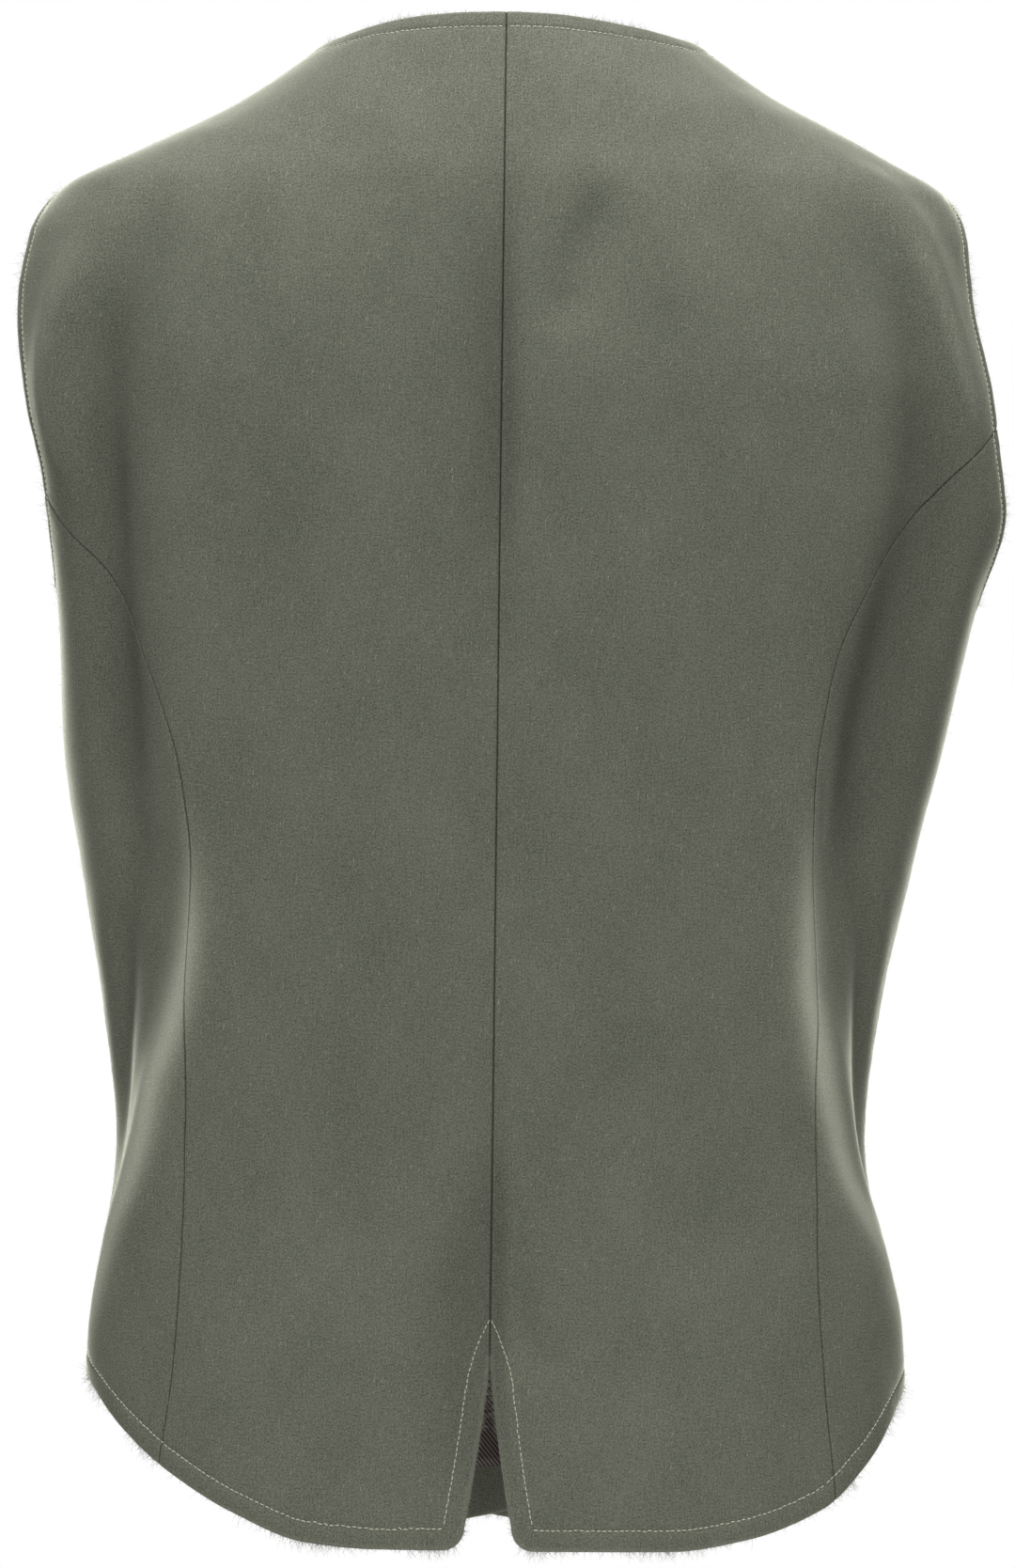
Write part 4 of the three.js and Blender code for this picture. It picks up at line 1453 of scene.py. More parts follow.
@dataclass
class FrontLining:
    """The lining of a front's inside, between its facings."""

    name: str
    drape: Drape
    cut: PanelCut
    dip: Dip
    step: float = 4.5 * MM

    FROM_SEAM = 0.6 * MM
    FACING = 46 * MM
    EASE = Ripple(60 * MM, 0.35 * MM, 21)

    def build(self, lining: Material) -> Object:
        """Args:
            lining: The lining's material.

        Returns:
            The lining's object, a thin closed shell.
        """
        form = self.drape.form
        bottom, _, rear, _ = self.cut.tracks
        tall, wide = rear.length(), bottom.length()
        rows = np.linspace(HEM_FACING / tall, 1 - self.FROM_SEAM / tall, round(tall / self.step))
        columns = np.linspace(self.FROM_SEAM / wide, 1 - self.FACING / wide, round(wide / self.step))
        places = self.cut.grid(rows * rear.cells, columns * bottom.cells)
        base = form.point(places)
        under = self.dip(form.side.value * base[..., 0]) + CLOTH + LAYER_GAP
        outer = self.drape.lay(places, -under)
        inner = self.drape.lay(places, -under - LINING + np.minimum(self.EASE(base), 0))
        piece = shell(outer, inner, np.zeros((0, 3)), form.side).object(self.name, [lining])
        flat = self.drape.flat(places).reshape(-1, 2)
        lay_map(piece, np.concatenate([flat, flat]))
        return piece


# ---- Thread, buttons and nap ----
class Skin:
    """The surfaces of some pieces together, to lay thread and hairs on."""

    def __init__(self, pieces: Sequence[Object]) -> None:
        """Args:
            pieces: Mesh objects at the origin.
        """
        points, faces = [], []
        for piece in pieces:
            start = len(points)
            points += [vertex.co.copy() for vertex in piece.data.vertices]
            faces += [[start + corner for corner in face.vertices] for face in piece.data.polygons]
        self.tree = BVHTree.FromPolygons(points, faces)

    def press(self, points: Points, heights: np.ndarray) -> tuple[Points, Points]:
        """Args:
            points: Points near the surface.
            heights: How far above it each goes.

        Returns:
            The points at those heights, and the surface's normals.
        """
        found = [self.tree.find_nearest(point)[:2] for point in points.reshape(-1, 3)]
        place = np.array([tuple(spot) for spot, _ in found])
        normal = np.array([tuple(way) for _, way in found])
        lifted = place + normal * np.broadcast_to(heights, points.shape[:-1]).reshape(-1, 1)
        return lifted.reshape(points.shape), normal.reshape(points.shape)


@dataclass
class Topstitching:
    """The rows of stitches along the finished edges of one half; the radius is half the thread's thickness."""

    name: str
    pitch: float = 2.15 * MM
    length: float = 1.7 * MM
    radius: float = 0.2 * MM

    ARCH = (-0.16 * MM, 0.12 * MM, 0.2 * MM, 0.12 * MM, -0.16 * MM)
    SWELL = (0.7, 1, 1.05, 1, 0.7)
    START = 0.3 * MM
    UNEVEN_START = 0.06 * MM
    UNEVEN_LENGTH = (0.92, 1.06)
    UNEVEN_PLACE = 0.07 * MM
    UNEVEN_ARCH = 0.03 * MM

    def build(self, lines: Sequence[Points], skin: Skin, thread: Material, seed: int) -> Object:
        """Args:
            lines: The stitch lines' points.
            skin: The cloth under them.
            thread: The thread's material.
            seed: Seed of the stitches' unevenness.

        Returns:
            The stitches, as one mesh.
        """
        chance = np.random.default_rng(seed)
        count = len(self.ARCH)
        spans = []
        for line in lines:
            starts = np.arange(self.START, along(line)[-1] - self.length, self.pitch)
            starts = starts + chance.normal(0, self.UNEVEN_START, len(starts))
            reach = self.length * chance.uniform(*self.UNEVEN_LENGTH, len(starts))
            at = starts[:, None] + reach[:, None] * np.linspace(0, 1, count)
            spans.append(resampled(line, at.ravel()).reshape(len(starts), count, 3))
        spans = np.concatenate(spans)
        wander = chance.normal(0, self.UNEVEN_PLACE, (len(spans), 1, 3))
        wander = wander + chance.normal(0, self.UNEVEN_ARCH, spans.shape)
        path, normal = skin.press(spans + wander, np.array(self.ARCH))
        return tubes(path, normal[:, count // 2], np.array(self.SWELL) * self.radius, 6).object(self.name, [thread])


@dataclass
class Buttons:
    """The horn buttons down the centre front, each sewn on through its four holes."""

    drape: Drape
    radius: float = 9 * MM
    thickness: float = 3.2 * MM
    rim: float = 1.7 * MM
    dish: float = 0.9 * MM
    hole: float = 1.0 * MM
    hole_ring: float = 2.1 * MM
    first: float = 302 * MM
    step: float = 60 * MM
    count: int = 5

    SIDES = 64
    HOLE_SIDES = 20
    LIFT = 0.2 * MM
    WELD = 0.01 * MM
    # How far out each point of the outline lies, in rims from the edge, and how high, in thicknesses.
    OUTLINE = ((1, 0), (0.5, 0.06), (0.12, 0.24), (0, 0.5), (0.06, 0.75), (0.3, 0.95), (0.62, 1), (1, 0.94))
    # The same inside the rim, with how low, in dishes below the face.
    BOWL = ((1.3, 0.6), (1.7, 0.95))
    # A thread's run over two holes: how far out, in hole rings, and how high.
    THREAD_RUN = ((-1.0, -1.6), (-0.96, 0.0), (-0.5, 0.42), (0.5, 0.42), (0.96, 0.0), (1.0, -1.6))
    THREADS = (-0.42, -0.14, 0.14, 0.42)
    THREAD_RADIUS = 0.16 * MM
    CROSSING = 0.25 * MM

    def drop(self, number: int) -> float:
        """Returns a button's drop, by its number from 1."""
        return self.first + (number - 1) * self.step

    def seat(self, number: int) -> Matrix:
        """Args:
            number: The button's number, from 1.

        Returns:
            Where it sits: its middle on the cloth, its Z outwards.
        """
        place = as_places(FRONT_ANGLE, self.drop(number))
        normal = self.drape.form.normal(place)
        turn = Vector(normal).to_track_quat("Z", "Y")
        spot = self.drape.lay(place) + normal * self.LIFT
        return Matrix.Translation(Vector(spot)) @ turn.to_matrix().to_4x4()

    def profile(self) -> list[tuple[float, float]]:
        """Returns the button's turned outline, from its back's middle round to its face's middle."""
        edge = [(self.radius - out * self.rim, up * self.thickness) for out, up in self.OUTLINE]
        bowl = [(self.radius - out * self.rim, self.thickness - low * self.dish) for out, low in self.BOWL]
        return [(0.0, 0.0), *edge, *bowl, (0.0, self.thickness - self.dish)]

    def build(self, number: int, horn: Material) -> Object:
        """Args:
            number: The button's number, from 1.
            horn: Its material.

        Returns:
            The button's object.
        """
        name = f"horn_button_{number}"
        work = bmesh.new()
        outline = [work.verts.new((r, 0.0, z)) for r, z in self.profile()]
        wire = [work.edges.new(pair) for pair in zip(outline, outline[1:])]
        bmesh.ops.spin(
            work, geom=outline + wire, cent=(0, 0, 0), axis=(0, 0, 1), angle=2 * math.pi, steps=self.SIDES
        )
        bmesh.ops.remove_doubles(work, verts=work.verts, dist=self.WELD)
        bmesh.ops.recalc_face_normals(work, faces=work.faces)
        piece = linked(name, mesh_of(work, name), [horn])
        self.drill(piece)
        piece.data.transform(self.seat(number))
        return piece

    def hole_way(self, quarter: int) -> np.ndarray:
        """Returns the direction from the button's middle to one of its holes."""
        angle = math.pi / 4 + quarter * math.pi / 2
        return np.array([math.cos(angle), math.sin(angle), 0])

    def drill(self, piece: Object) -> None:
        """Args:
            piece: A button at the origin, which is given its four holes.
        """
        work = bmesh.new()
        for quarter in range(4):
            bmesh.ops.create_cone(
                work,
                segments=self.HOLE_SIDES,
                radius1=self.hole,
                radius2=self.hole,
                depth=3 * self.thickness,
                cap_ends=True,
                matrix=Matrix.Translation(self.hole_ring * self.hole_way(quarter)),
            )
        cutters = bpy.data.objects.new("hole_cutters", mesh_of(work, "hole_cutters"))
        bpy.context.scene.collection.objects.link(cutters)
        cut = piece.modifiers.new("holes", "BOOLEAN")
        cut.object, cut.operation = cutters, "DIFFERENCE"
        graph = bpy.context.evaluated_depsgraph_get()
        drilled = bpy.data.meshes.new_from_object(piece.evaluated_get(graph))
        piece.modifiers.clear()
        old, piece.data = piece.data, drilled
        used = cutters.data
        bpy.data.objects.remove(cutters)
        for mesh in (old, used):
            bpy.data.meshes.remove(mesh)

    def thread(self, number: int, thread: Material) -> Object:
        """Args:
            number: The button's number, from 1.
            thread: The thread's material.

        Returns:
            The crossed threads that hold the button on.
        """
        paths = []
        for quarter in (0, 1):
            way = self.hole_way(quarter)
            beside = np.array([-way[1], way[0], 0])
            lift = self.thickness - self.dish + quarter * self.CROSSING
            for offset in self.THREADS:
                middle = beside * offset * MM
                paths.append(
                    [way * self.hole_ring * out + middle + (0, 0, lift + up * MM) for out, up in self.THREAD_RUN]
                )
        up = np.tile([[0.0, 0.0, 1.0]], (len(paths), 1))
        piece = tubes(np.array(paths), up, self.THREAD_RADIUS, 6).object(f"button_thread_{number}", [thread])
        piece.data.transform(self.seat(number))
        return piece


@dataclass
class Buttonholes:
    """The worked buttonholes in the upper front, as bars of thread round a slit that starts past the button."""

    buttons: Buttons
    length: float = 21 * MM
    inwards: float = 3 * MM
    bar: float = 1.7 * MM
    pitch: float = 0.5 * MM
    slit: float = 0.35 * MM
    radius: float = 0.24 * MM

    ARCH = (-0.05, 0.2, 0.26, 0.18, -0.12)

    def build(self, skin: Skin, thread: Material) -> Object:
        """Args:
            skin: The upper front.
            thread: The thread's material.

        Returns:
            All the buttonholes, as one mesh.
        """
        drape, count = self.buttons.drape, len(self.ARCH)
        reach = np.linspace(-self.inwards, self.length - self.inwards, round(self.length / self.pitch))
        spans = []
        for number in range(1, self.buttons.count + 1):
            drop = self.buttons.drop(number)
            angle = drape.form.at_width(reach[:, None], np.full((1, count), drop), True)[..., 0]
            for way in (-1, 1):
                near = drop + way * self.slit
                far = near + way * self.bar
                drops = near + (far - near) * np.linspace(0, 1, count)
                spans.append(drape.lay(as_places(angle, drops)))
        path, normal = skin.press(np.concatenate(spans), np.array(self.ARCH) * MM)
        return tubes(path, normal[:, count // 2], self.radius, 6).object("buttonholes", [thread])


@dataclass
class NapEdge:
    """A finished edge that bears fibres: its points, outward directions, normals and the fibres' length."""

    points: Points
    out: Points
    normal: Points
    length: float


@dataclass
class Nap:
    """The wool's fine loose fibres: thick along the finished edges and sparse on the cloth."""

    name: str
    edge_hairs: float = 5400  # for each metre of finished edge
    face_hairs: float = 11000  # for each square metre of cloth
    face_length: float = 1.0 * MM
    longest: float = 5.5 * MM
    radius: float = 0.048 * MM

    CLUMPS = (9 * MM, 31 * MM)
    FEWEST = 0.35
    ROOT_DEPTH = 0.6 * MM
    LENGTHS = (3.0, 0.33)
    SPIN = 0.5
    BEND = 0.35
    TAPER = (1.0, 0.75, 0.25)

    def build(self, edges: Sequence[NapEdge], pieces: Sequence[Object], material: Material, seed: int) -> Object:
        """Args:
            edges: The edges that bear fibres.
            pieces: The panels that bear them.
            material: The fibres' material.
            seed: Seed of their places.

        Returns:
            The fibres, as one mesh.
        """
        chance = np.random.default_rng(seed)
        grown = [self.along_edge(edge, chance) for edge in edges] + [self.on_cloth(piece, chance) for piece in pieces]
        root, way, length = (np.concatenate(column) for column in zip(*grown))
        bend = chance.normal(0, self.BEND, root.shape)
        length = np.minimum(length, self.longest)[:, None]
        middle = root + way * length * 0.5
        tip = middle + unit(way + bend) * length * 0.5
        path = np.stack([root, middle, tip], axis=1)
        up = unit(chance.normal(size=root.shape))
        return tubes(path, up, np.array(self.TAPER) * self.radius, 3).object(self.name, [material])

    def along_edge(self, edge: NapEdge, chance: np.random.Generator) -> tuple[Points, Points, np.ndarray]:
        """Args:
            edge: The edge.
            chance: The random numbers.

        Returns:
            The roots, directions and lengths of its fibres, which stand in clumps.
        """
        at = along(edge.points)
        count = round(at[-1] * self.edge_hairs)
        clump = 0.5 + 0.5 * np.sin(at / self.CLUMPS[0] + 2 * np.sin(at / self.CLUMPS[1]))
        share = np.cumsum(self.FEWEST + clump)
        picked = np.searchsorted(share / share[-1], chance.uniform(0, 1, count))
        spin = chance.normal(0, self.SPIN, (count, 3))
        out, normal = edge.out[picked], edge.normal[picked]
        roots = edge.points[picked] - out * chance.uniform(0, self.ROOT_DEPTH, (count, 1))
        ways = unit(out * chance.uniform(0.2, 1.2, (count, 1)) + normal * 0.3 + spin)
        return roots, ways, edge.length * chance.gamma(*self.LENGTHS, count) * (0.55 + 0.6 * clump[picked])

    def on_cloth(self, piece: Object, chance: np.random.Generator) -> tuple[Points, Points, np.ndarray]:
        """Args:
            piece: A panel.
            chance: The random numbers.

        Returns:
            The roots, directions and lengths of the sparse fibres on its outer face.
        """
        faces = piece.data.polygons
        centre, normal = read_all(faces, "center", 3), read_all(faces, "normal", 3)
        area = read_all(faces, "area")
        area[len(area) // 2 :] = 0
        count = round(area.sum() * self.face_hairs)
        picked = np.searchsorted(np.cumsum(area) / area.sum(), chance.uniform(0, 1, count))
        roots = centre[picked] + chance.normal(0, 0.5 * MM, (count, 3)) * 0.5
        ways = unit(normal[picked] * 0.5 + chance.normal(0, self.SPIN, (count, 3)) + (0, 0, -0.25))
        return roots, ways, self.face_length * chance.gamma(*self.LENGTHS, count)


# ---- Finishes ----
Colour = tuple[float, ...]


def shade(red: int, green: int, blue: int) -> Colour:
    """Returns as light, for a shader, a colour as seen on a screen, in parts of 0 to 255."""
    parts = [value / 255 for value in (red, green, blue)]
    return (*(value / 12.92 if value <= 0.04045 else ((value + 0.055) / 1.055) ** 2.4 for value in parts), 1.0)


class Dye:
    """A material being mixed: each call adds a node and gives its output."""

    ROUGHNESS = 0.6

    def __init__(self, name: str) -> None:
        """Args:
            name: The material's name.
        """
        self.material = bpy.data.materials.new(name)
        self.material.use_nodes = True
        self.tree = self.material.node_tree

    def feed(self, node: bpy.types.Node, inputs: dict) -> None:
        """Args:
            node: A node of the material.
            inputs: Values or sockets for its inputs, by name or number.
        """
        for name, value in inputs.items():
            if isinstance(value, Socket):
                self.tree.links.new(value, node.inputs[name])
            else:
                node.inputs[name].default_value = value

    def node(self, kind: str, inputs: dict, output: int | str = 0, **settings: object) -> Socket:
        """Args:
            kind: The node's type, without the word that all shader nodes' types start with.
            inputs: Values or sockets for its inputs, by name or number.
            output: Which of its outputs is wanted.
            settings: Its properties.

        Returns:
            That output.
        """
        node = self.tree.nodes.new(f"ShaderNode{kind}")
        for name, value in settings.items():
            setattr(node, name, value)
        self.feed(node, inputs)
        return node.outputs[output]

    def cloth_map(self, stretch: tuple[float, float], turn: float = 0.0) -> Socket:
        """Args:
            stretch: Width and height of one unit, in millimetres of cloth.
            turn: Angle in degrees that the map is turned by.

        Returns:
            Coordinates on the flat cloth.
        """
        flat = self.node("UVMap", {}, uv_map="cloth")
        turned = self.node("Mapping", {0: flat, "Rotation": (0, 0, math.radians(turn))})
        return self.node("Mapping", {0: turned, "Scale": (1 / (stretch[0] * MM), 1 / (stretch[1] * MM), 1)})

    def body_map(self) -> Socket:
        """Returns coordinates in the piece's own metres."""
        return self.node("TexCoord", {}, output="Object")

    def noise(self, where: Socket, detail: float = 2.0, scale: float = 1.0) -> Socket:
        """Returns a noise from 0 to 1, by its coordinates, its number of finer layers and its scale."""
        inputs = {"Vector": where, "Scale": scale, "Detail": detail, "Roughness": self.ROUGHNESS}
        return self.node("TexNoise", inputs)

    def sums(self, parts: Sequence[tuple[Socket, float]], middle: float) -> Socket:
        """Args:
            parts: Noises about 0.5, and how much of each is added.
            middle: The sum where every noise is 0.5.

        Returns:
            The sum.
        """
        total: Socket | float = middle - sum(0.5 * share for _, share in parts)
        for value, share in parts:
            total = self.node("Math", {0: value, 1: share, 2: total}, operation="MULTIPLY_ADD")
        return total

    def step(self, value: Socket, low: float, high: float, to: float = 1.0) -> Socket:
        """Returns a soft step from 0 where the value is low to another number where it is high."""
        inputs = {"Value": value, 1: low, 2: high, 3: 0.0, 4: to}
        return self.node("MapRange", inputs, interpolation_type="SMOOTHSTEP")

    def blend(self, share: Socket, low: object, high: object, mode: str = "MIX") -> Socket:
        """Returns two colours mixed, by the share of the second."""
        return self.node("Mix", {0: share, 6: low, 7: high}, output=2, data_type="RGBA", blend_type=mode)

    def note(self, name: str) -> Socket:
        """Returns a number that the mesh carries, by its name."""
        return self.node("Attribute", {}, output="Fac", attribute_name=name)

    def bump(self, height: Socket, reach: float, strength: float = 1.0) -> Socket:
        """Returns the bumped normal, by heights from 0 to 1, what 1 is in metres, and how much of it shows."""
        return self.node("Bump", {"Height": height, "Distance": reach, "Strength": strength})

    def finish(self, **sockets: object) -> Material:
        """Args:
            sockets: Values or sockets for the shader, its names' spaces written as _.

        Returns:
            The material.
        """
        shader = self.tree.nodes["Principled BSDF"]
        self.feed(shader, {name.replace("_", " "): value for name, value in sockets.items()})
        return self.material


@dataclass(frozen=True)
class WoolFinish:
    """Fulled wool in a grey green melange: yarns of several shades and a soft nap, with painted highlights on the
    crests, painted shade in the hollows and in the seams' grooves, and pale worn fibres with painted sheen along the
    edges.
    """

    deep: Colour = shade(78, 82, 70)
    light: Colour = shade(132, 134, 120)
    # pale_fibre also lightens the finished edges: pale worn fibres and painted sheen.
    pale_fibre: Colour = shade(186, 186, 168)
    # dark_fibre also serves as the painted shade in the hollows.
    dark_fibre: Colour = shade(48, 50, 42)
    # seam is the painted shade in the seams' grooves.
    seam: Colour = shade(34, 36, 30)
    # nap is the sheen's tint and also the colour of the highlight painted along the crests.
    nap: Colour = shade(196, 198, 182)

    def material(self) -> Material:
        """Returns the wool."""
        dye = Dye("wool")
        painted_light_and_shade, seam = dye.note("painted_light_and_shade"), dye.note("seam_mm")
        warp = dye.noise(dye.cloth_map((0.75, 8.0)))
        weft = dye.noise(dye.cloth_map((5.0, 0.7)))
        grain = dye.noise(dye.cloth_map((0.62, 0.66)), detail=3)
        cloud = dye.noise(dye.cloth_map((34.0, 55.0)))
        slub = dye.noise(dye.cloth_map((0.5, 4.0), turn=12), detail=1)
        curl = dye.noise(dye.cloth_map((3.2, 0.55), turn=-25), detail=1)
        tone = dye.sums([(warp, 0.5), (weft, 0.45), (grain, 2.7), (cloud, 0.4)], 0.5)
        colour = dye.blend(tone, self.deep, self.light)
        layers = (
            (slub, 0.66, 0.76, 0.4, self.pale_fibre, "MIX"),
            (curl, 0.68, 0.78, 0.35, self.dark_fibre, "MIX"),
            # Painted highlight along the crests, then painted shade in the hollows.
            (painted_light_and_shade, 0.0, 1.0, 0.46, self.nap, "ADD"),
            (painted_light_and_shade, 0.0, -1.0, 0.26, self.dark_fibre, "MULTIPLY"),
            # Pale worn fibres and painted sheen along the finished edges.
            (dye.note("edge_mm"), 2.2, 0.0, 0.16, self.pale_fibre, "MIX"),
            # Painted shade in the seams' grooves.
            (seam, 0.42, 0.1, 0.55, self.seam, "MIX"),
        )
        for value, low, high, share, tint, mode in layers:
            colour = dye.blend(dye.step(value, low, high, share), colour, tint, mode)
        # The sheen is turned off in the seams' grooves and where shade is painted in the hollows.
        raised = dye.sums([(dye.step(seam, 0.3, 1.2), 1.0), (painted_light_and_shade, 1.0)], 1.0)
        height = dye.sums([(grain, 0.7), (warp, 0.3), (weft, 0.25)], 0.5)
        return dye.finish(
            Base_Color=colour,
            Roughness=0.93,
            Specular_IOR_Level=0.22,
            Sheen_Weight=dye.step(raised, 0.25, 1.0),
            Sheen_Roughness=0.3,
            Sheen_Tint=tuple(1.5 * part for part in self.nap[:3]) + (1.0,),
            Normal=dye.bump(height, 0.25 * MM, 0.7),
        )


@dataclass(frozen=True)
class SatinFinish:
    """A dark wine lining with fine slanting stripes."""

    deep: Colour = shade(30, 20, 21)
    stripe: Colour = shade(150, 134, 126)
    glint: Colour = shade(52, 37, 38)
    slant: float = 45

    def material(self) -> Material:
        """Returns the lining."""
        dye = Dye("lining_satin")
        where = dye.cloth_map((1.0, 1.0), self.slant)
        wave = {"Vector": where, "Scale": 0.24, "Distortion": 0.5, "Detail": 2.0, "Detail Scale": 0.6}
        lines = dye.step(dye.node("TexWave", wave, bands_direction="X"), 0.62, 0.92, 0.7)
        colour = dye.blend(dye.noise(dye.cloth_map((14.0, 26.0))), self.deep, self.glint)
        weave = dye.noise(dye.cloth_map((0.3, 1.6), self.slant), detail=1)
        return dye.finish(
            Base_Color=dye.blend(lines, colour, self.stripe),
            Roughness=0.42,
            Specular_IOR_Level=0.45,
            Normal=dye.bump(weave, 0.06 * MM, 0.6),
        )


@dataclass(frozen=True)
class HornFinish:
    """Polished brown horn with streaks."""

    deep: Colour = shade(42, 30, 22)
    light: Colour = shade(128, 98, 66)

    def material(self) -> Material:
        """Returns the horn."""
        dye = Dye("horn")
        where = dye.body_map()
        streaks = dye.node("Mapping", {0: where, "Scale": (90, 90, 480), "Rotation": (0.3, 0.5, 0)})
        grain = dye.noise(streaks, detail=4)
        scratches = dye.noise(where, scale=900.0, detail=3)
        return dye.finish(
            Base_Color=dye.blend(dye.step(grain, 0.32, 0.72), self.deep, self.light),
            Roughness=dye.sums([(scratches, 0.25)], 0.34),
            Specular_IOR_Level=0.5,
            Normal=dye.bump(scratches, 0.03 * MM, 0.5),
        )


@dataclass(frozen=True)
class MottledFinish:
    """A finish of two tones mottled together, with or without a fine relief (in metres)."""

    name: str
    deep: Colour
    light: Colour
    scale: float
    detail: float
    roughness: float
    shine: float
    relief: float = 0.0

    def material(self) -> Material:
        """Returns the material."""
        dye = Dye(self.name)
        tones = dye.noise(dye.body_map(), self.detail, self.scale)
        relief = {"Normal": dye.bump(tones, self.relief, 0.6)} if self.relief else {}
        colour = dye.blend(tones, self.deep, self.light)
        return dye.finish(Base_Color=colour, Roughness=self.roughness, Specular_IOR_Level=self.shine, **relief)


LOOSE_FIBRE = MottledFinish("wool_fibre", shade(120, 122, 110), shade(188, 189, 178), 300, 2, 0.9, 0.2)
STUDIO_FLOOR = MottledFinish("studio_floor", shade(222, 221, 217), shade(230, 229, 226), 3, 2, 0.8, 0.5)
THREAD = (1400, 1, 0.6, 0.35, 0.08 * MM)
PALE_THREAD = MottledFinish("topstitch_thread", shade(190, 189, 170), shade(232, 230, 212), *THREAD)
DARK_THREAD = MottledFinish("button_thread", shade(72, 74, 62), shade(112, 114, 98), *THREAD)


# ---- Studio ----
@dataclass(frozen=True)
class Softbox:
    """A soft square lamp: where it stands, what it shines at, its side and its power in watts."""

    name: str
    place: tuple[float, float, float]
    aim: tuple[float, float, float]
    size: float
    power: float

    def build(self) -> None:
        """Puts the lamp into the scene."""
        data = bpy.data.lights.new(self.name, "AREA")
        data.size, data.energy = self.size, self.power
        lamp = bpy.data.objects.new(self.name, data)
        lamp.location = self.place
        lamp.rotation_mode = "QUATERNION"
        lamp.rotation_quaternion = (Vector(self.aim) - Vector(self.place)).to_track_quat("-Z", "Y")
        bpy.context.scene.collection.objects.link(lamp)


@dataclass
class Studio:
    """The floor, the light and the camera."""

    floor_height: float = -1.35
    floor_radius: float = 2.0
    ambient: float = 0.07
    lamps: tuple[Softbox, ...] = (
        Softbox("fill", (0.0, 2.3, 0.0), (0.0, 0.0, -0.25), 0.5, 28),
        Softbox("left", (0.65, 0.05, 1.55), (0.0, 0.0, -0.25), 0.6, 22),
        Softbox("right", (-0.65, 0.05, 1.55), (0.0, 0.0, -0.25), 0.6, 22),
        Softbox("front", (0.0, -1.9, 0.8), (0.0, -0.1, -0.25), 1.6, 22),
    )
    eye: tuple[float, float, float] = (-0.004, 2.02, -0.255)
    reach: float = 2.0  # from the camera to the vest
    span: float = 0.6096  # height of what the camera sees there
    roll: float = 0.7

    SENSOR = 36.0
    FLOOR_SIDES = 96
    WHITE = (1, 1, 1, 1)

    def build(self) -> None:
        """Builds it all."""
        self.lay_floor()
        self.light()
        for lamp in self.lamps:
            lamp.build()
        self.set_camera()

    def lay_floor(self) -> None:
        """Lays the floor, far below the vest."""
        work = bmesh.new()
        bmesh.ops.create_circle(work, cap_ends=True, radius=self.floor_radius, segments=self.FLOOR_SIDES)
        floor = linked("floor", mesh_of(work, "floor"), [STUDIO_FLOOR.material()])
        floor.location.z = self.floor_height

    def light(self) -> None:
        """Sets a white backdrop and an even light from all round."""
        world = bpy.data.worlds.new("studio")
        world.use_nodes = True
        nodes, links = world.node_tree.nodes, world.node_tree.links
        around, backdrop = nodes["Background"], nodes.new("ShaderNodeBackground")
        for source in (around, backdrop):
            source.inputs["Color"].default_value = self.WHITE
        around.inputs["Strength"].default_value = self.ambient
        path, both = nodes.new("ShaderNodeLightPath"), nodes.new("ShaderNodeMixShader")
        for number, socket in enumerate((path.outputs["Is Camera Ray"], around.outputs[0], backdrop.outputs[0])):
            links.new(socket, both.inputs[number])
        links.new(both.outputs[0], nodes["World Output"].inputs["Surface"])
        bpy.context.scene.world = world
        bpy.context.scene.view_settings.view_transform = "Standard"

    def set_camera(self) -> None:
        """Sets the camera level behind the vest."""
        data = bpy.data.cameras.new("camera")
        data.sensor_width = self.SENSOR
        data.lens = self.SENSOR * self.reach / self.span
        camera = bpy.data.objects.new("camera", data)
        tilt = math.radians(self.roll)
        columns = ((-math.cos(tilt), 0, math.sin(tilt)), (math.sin(tilt), 0, math.cos(tilt)), (0, 1, 0))
        camera.matrix_world = Matrix.Translation(self.eye) @ Matrix(columns).transposed().to_4x4()
        bpy.context.scene.collection.objects.link(camera)
        bpy.context.scene.camera = camera


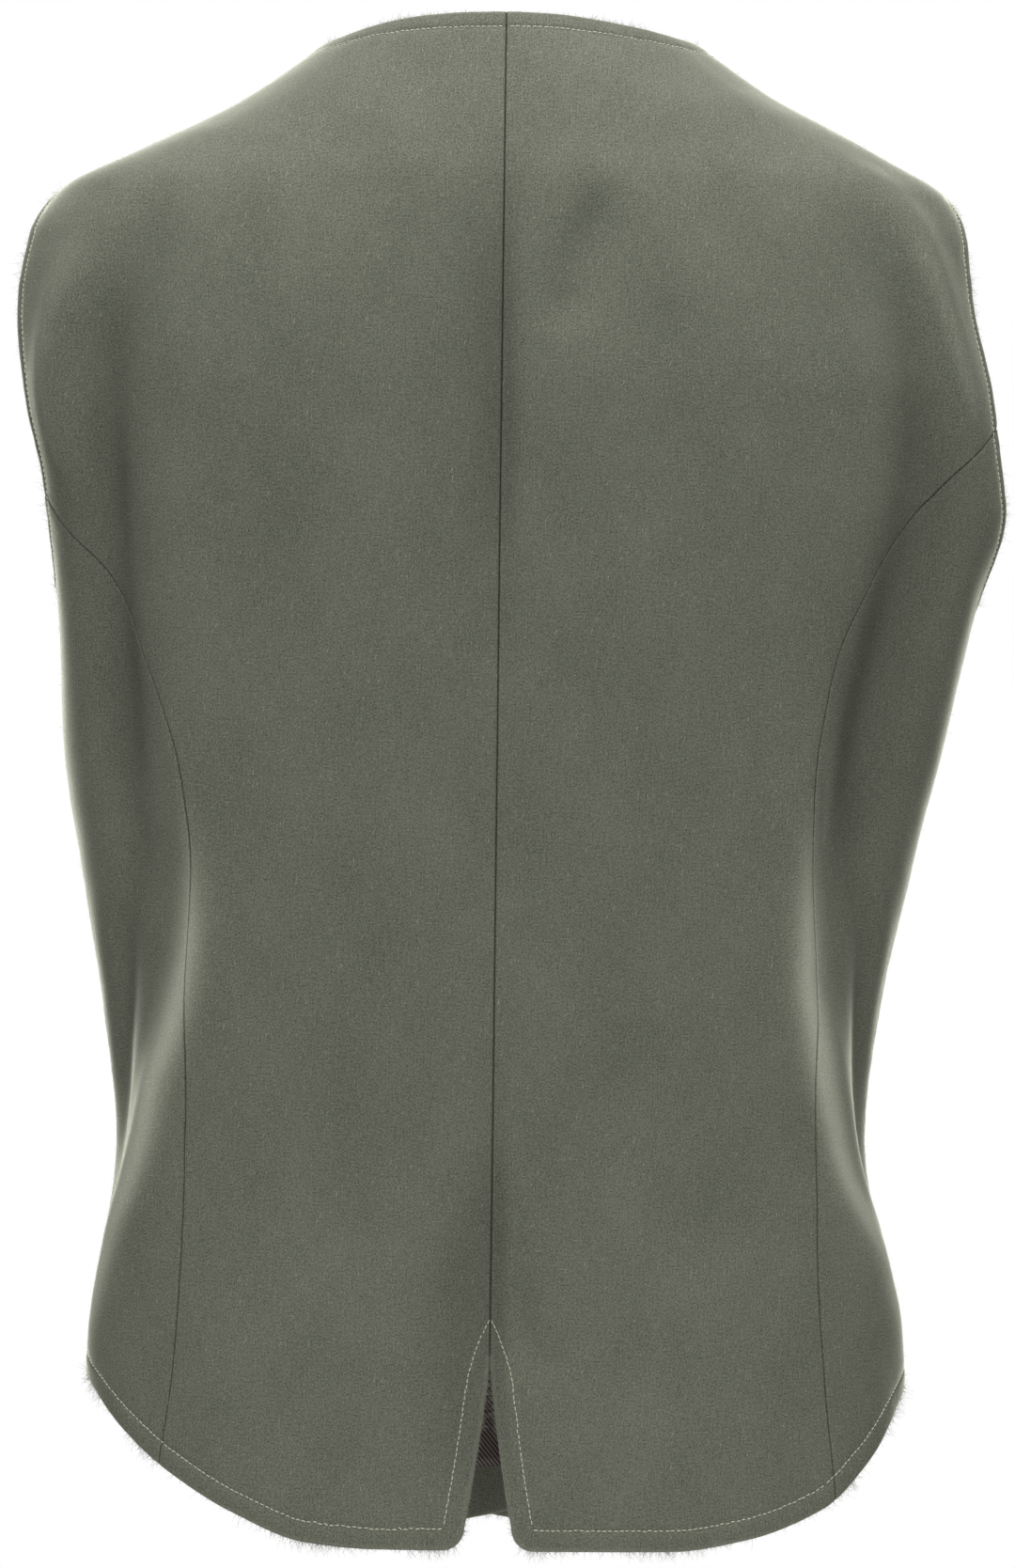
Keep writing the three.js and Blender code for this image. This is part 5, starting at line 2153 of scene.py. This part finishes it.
# ---- The vest ----
@dataclass
class Vest:
    """The whole vest, built half by half."""

    nape: float
    back_step: float = 2.3 * MM
    front_step: float = 3.4 * MM
    seed: int = 40  # the halves' stitches and naps count on from it

    # How long the nap is at each kind of edge.
    NAP = {
        Edge.HEM: 2.9 * MM,
        Edge.VENT: 1.5 * MM,
        Edge.ARMHOLE: 2.1 * MM,
        Edge.NECK: 1.5 * MM,
        Edge.FRONT: 0.9 * MM,
    }
    NAP_SEEDS = 10
    PROBE = 3 * MM
    # From and to where, past the overlap, the left front comes up from under the right.
    DIP_END = (5 * MM, 40 * MM)

    def __post_init__(self) -> None:
        """Mixes the materials."""
        self.wool = WoolFinish().material()
        self.satin = SatinFinish().material()
        self.fibre = LOOSE_FIBRE.material()
        self.horn = HornFinish().material()
        self.pale_thread = PALE_THREAD.material()
        self.dark_thread = DARK_THREAD.material()

    def build(self) -> None:
        """Builds every piece."""
        drapes = {side: Drape(HalfForm(side, self.nape)) for side in Side}
        fronts = {side: self.build_half(drape) for side, drape in drapes.items()}
        self.build_buttons(drapes[Side.RIGHT], Skin([fronts[Side.RIGHT]]))

    def dip(self, x: np.ndarray) -> np.ndarray:
        """Returns how far the left front lies under the cloth's face, where it passes under the right."""
        low, high = (OVERLAP + reach for reach in self.DIP_END)
        return (CLOTH + LAYER_GAP) * (1 - smooth(x, low, high))

    def build_half(self, drape: Drape) -> Object:
        """Args:
            drape: The half's draped face.

        Returns:
            The front panel.
        """
        side = drape.form.side
        pattern = Pattern(drape.form)
        marks = SewingMarks(pattern)
        front_dip = np.zeros_like if side is Side.RIGHT else self.dip
        plans = (
            ("back", pattern.back_cut(), np.zeros_like, self.back_step, True),
            ("side_back", pattern.side_cut(), np.zeros_like, self.back_step, True),
            ("front", pattern.front_cut(), front_dip, self.front_step, False),
        )
        panels = []
        for name, cut, dip, step, is_lined in plans:
            node = f"{name}_{side.word}"
            piece = ClothPanel(f"wool_{node}", drape, cut, marks, dip, step, is_lined).build(self.wool, self.satin)
            self.hand_over(piece, "wool", node)
            self.declare_cloth(piece)
            panels.append(piece)
        lining = FrontLining(f"satin_lining_{side.word}", drape, pattern.front_cut(), front_dip).build(self.satin)
        self.hand_over(lining, "lining", f"lining_{side.word}")
        self.declare_cloth(lining)
        seed = self.seed + side.value
        lines = [drape.lay(line) for line in marks.stitch_lines]
        rows = Topstitching(f"topstitching_{side.word}").build(lines, Skin(panels), self.pale_thread, seed)
        self.hand_over(rows, "wool")
        edges = self.nap_edges(drape, marks)
        nap = Nap(f"wool_nap_{side.word}").build(edges, panels, self.fibre, seed + self.NAP_SEEDS)
        self.hand_over(nap, "wool")
        return panels[-1]

    def nap_edges(self, drape: Drape, marks: SewingMarks) -> list[NapEdge]:
        """Args:
            drape: The half's draped face.
            marks: Its sewing marks.

        Returns:
            The edges that bear fibres, each with its directions out of the cloth, away from the topstitching.
        """
        edges = []
        for edge, line in marks.edges:
            points, normal = drape.lay(line, -0.5 * CLOTH), drape.form.normal(line)
            out = unit(np.cross(normal, unit(np.gradient(points, axis=0))))
            middle = len(line) // 2
            base, reach = drape.form.point(line[middle]), out[middle] * self.PROBE
            if marks.stitching.distance(base + reach) < marks.stitching.distance(base - reach):
                out = -out
            edges.append(NapEdge(points, out, normal, self.NAP[edge]))
        return edges

    def build_buttons(self, drape: Drape, skin: Skin) -> None:
        """Args:
            drape: The right half's draped face, for the buttons and their holes.
            skin: The upper front's surface.
        """
        buttons = Buttons(drape)
        for number in range(1, buttons.count + 1):
            self.hand_over(buttons.build(number, self.horn), "button", f"button_{number}")
            self.hand_over(buttons.thread(number, self.dark_thread), "button")
        self.hand_over(Buttonholes(buttons).build(skin, self.dark_thread), "wool")

    def hand_over(self, piece: Object, slot: str, *nodes: str) -> None:
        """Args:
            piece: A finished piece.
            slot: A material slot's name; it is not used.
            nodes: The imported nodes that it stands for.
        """
        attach(piece, ROOT_BODY)
        if nodes:
            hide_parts(*nodes)
        LOG.info("%s: %d faces", piece.name, len(piece.data.polygons))

    def declare_cloth(self, piece: Object) -> None:
        """Args:
            piece: A panel or lining, whose flat cut's map and area are read but not used further.
        """
        flat = read_all(piece.data.uv_layers["cloth"].data, "uv", 2)
        area = read_all(piece.data.polygons, "area").sum() / 2


def main() -> None:
    """Builds the studio and the vest, and logs each piece's number of faces."""
    logging.basicConfig(level=logging.INFO, format="%(name)s: %(message)s")
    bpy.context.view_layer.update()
    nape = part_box("back_left")[1][2]
    Studio().build()
    Vest(nape).build()


if __name__ == "__main__":
    main()
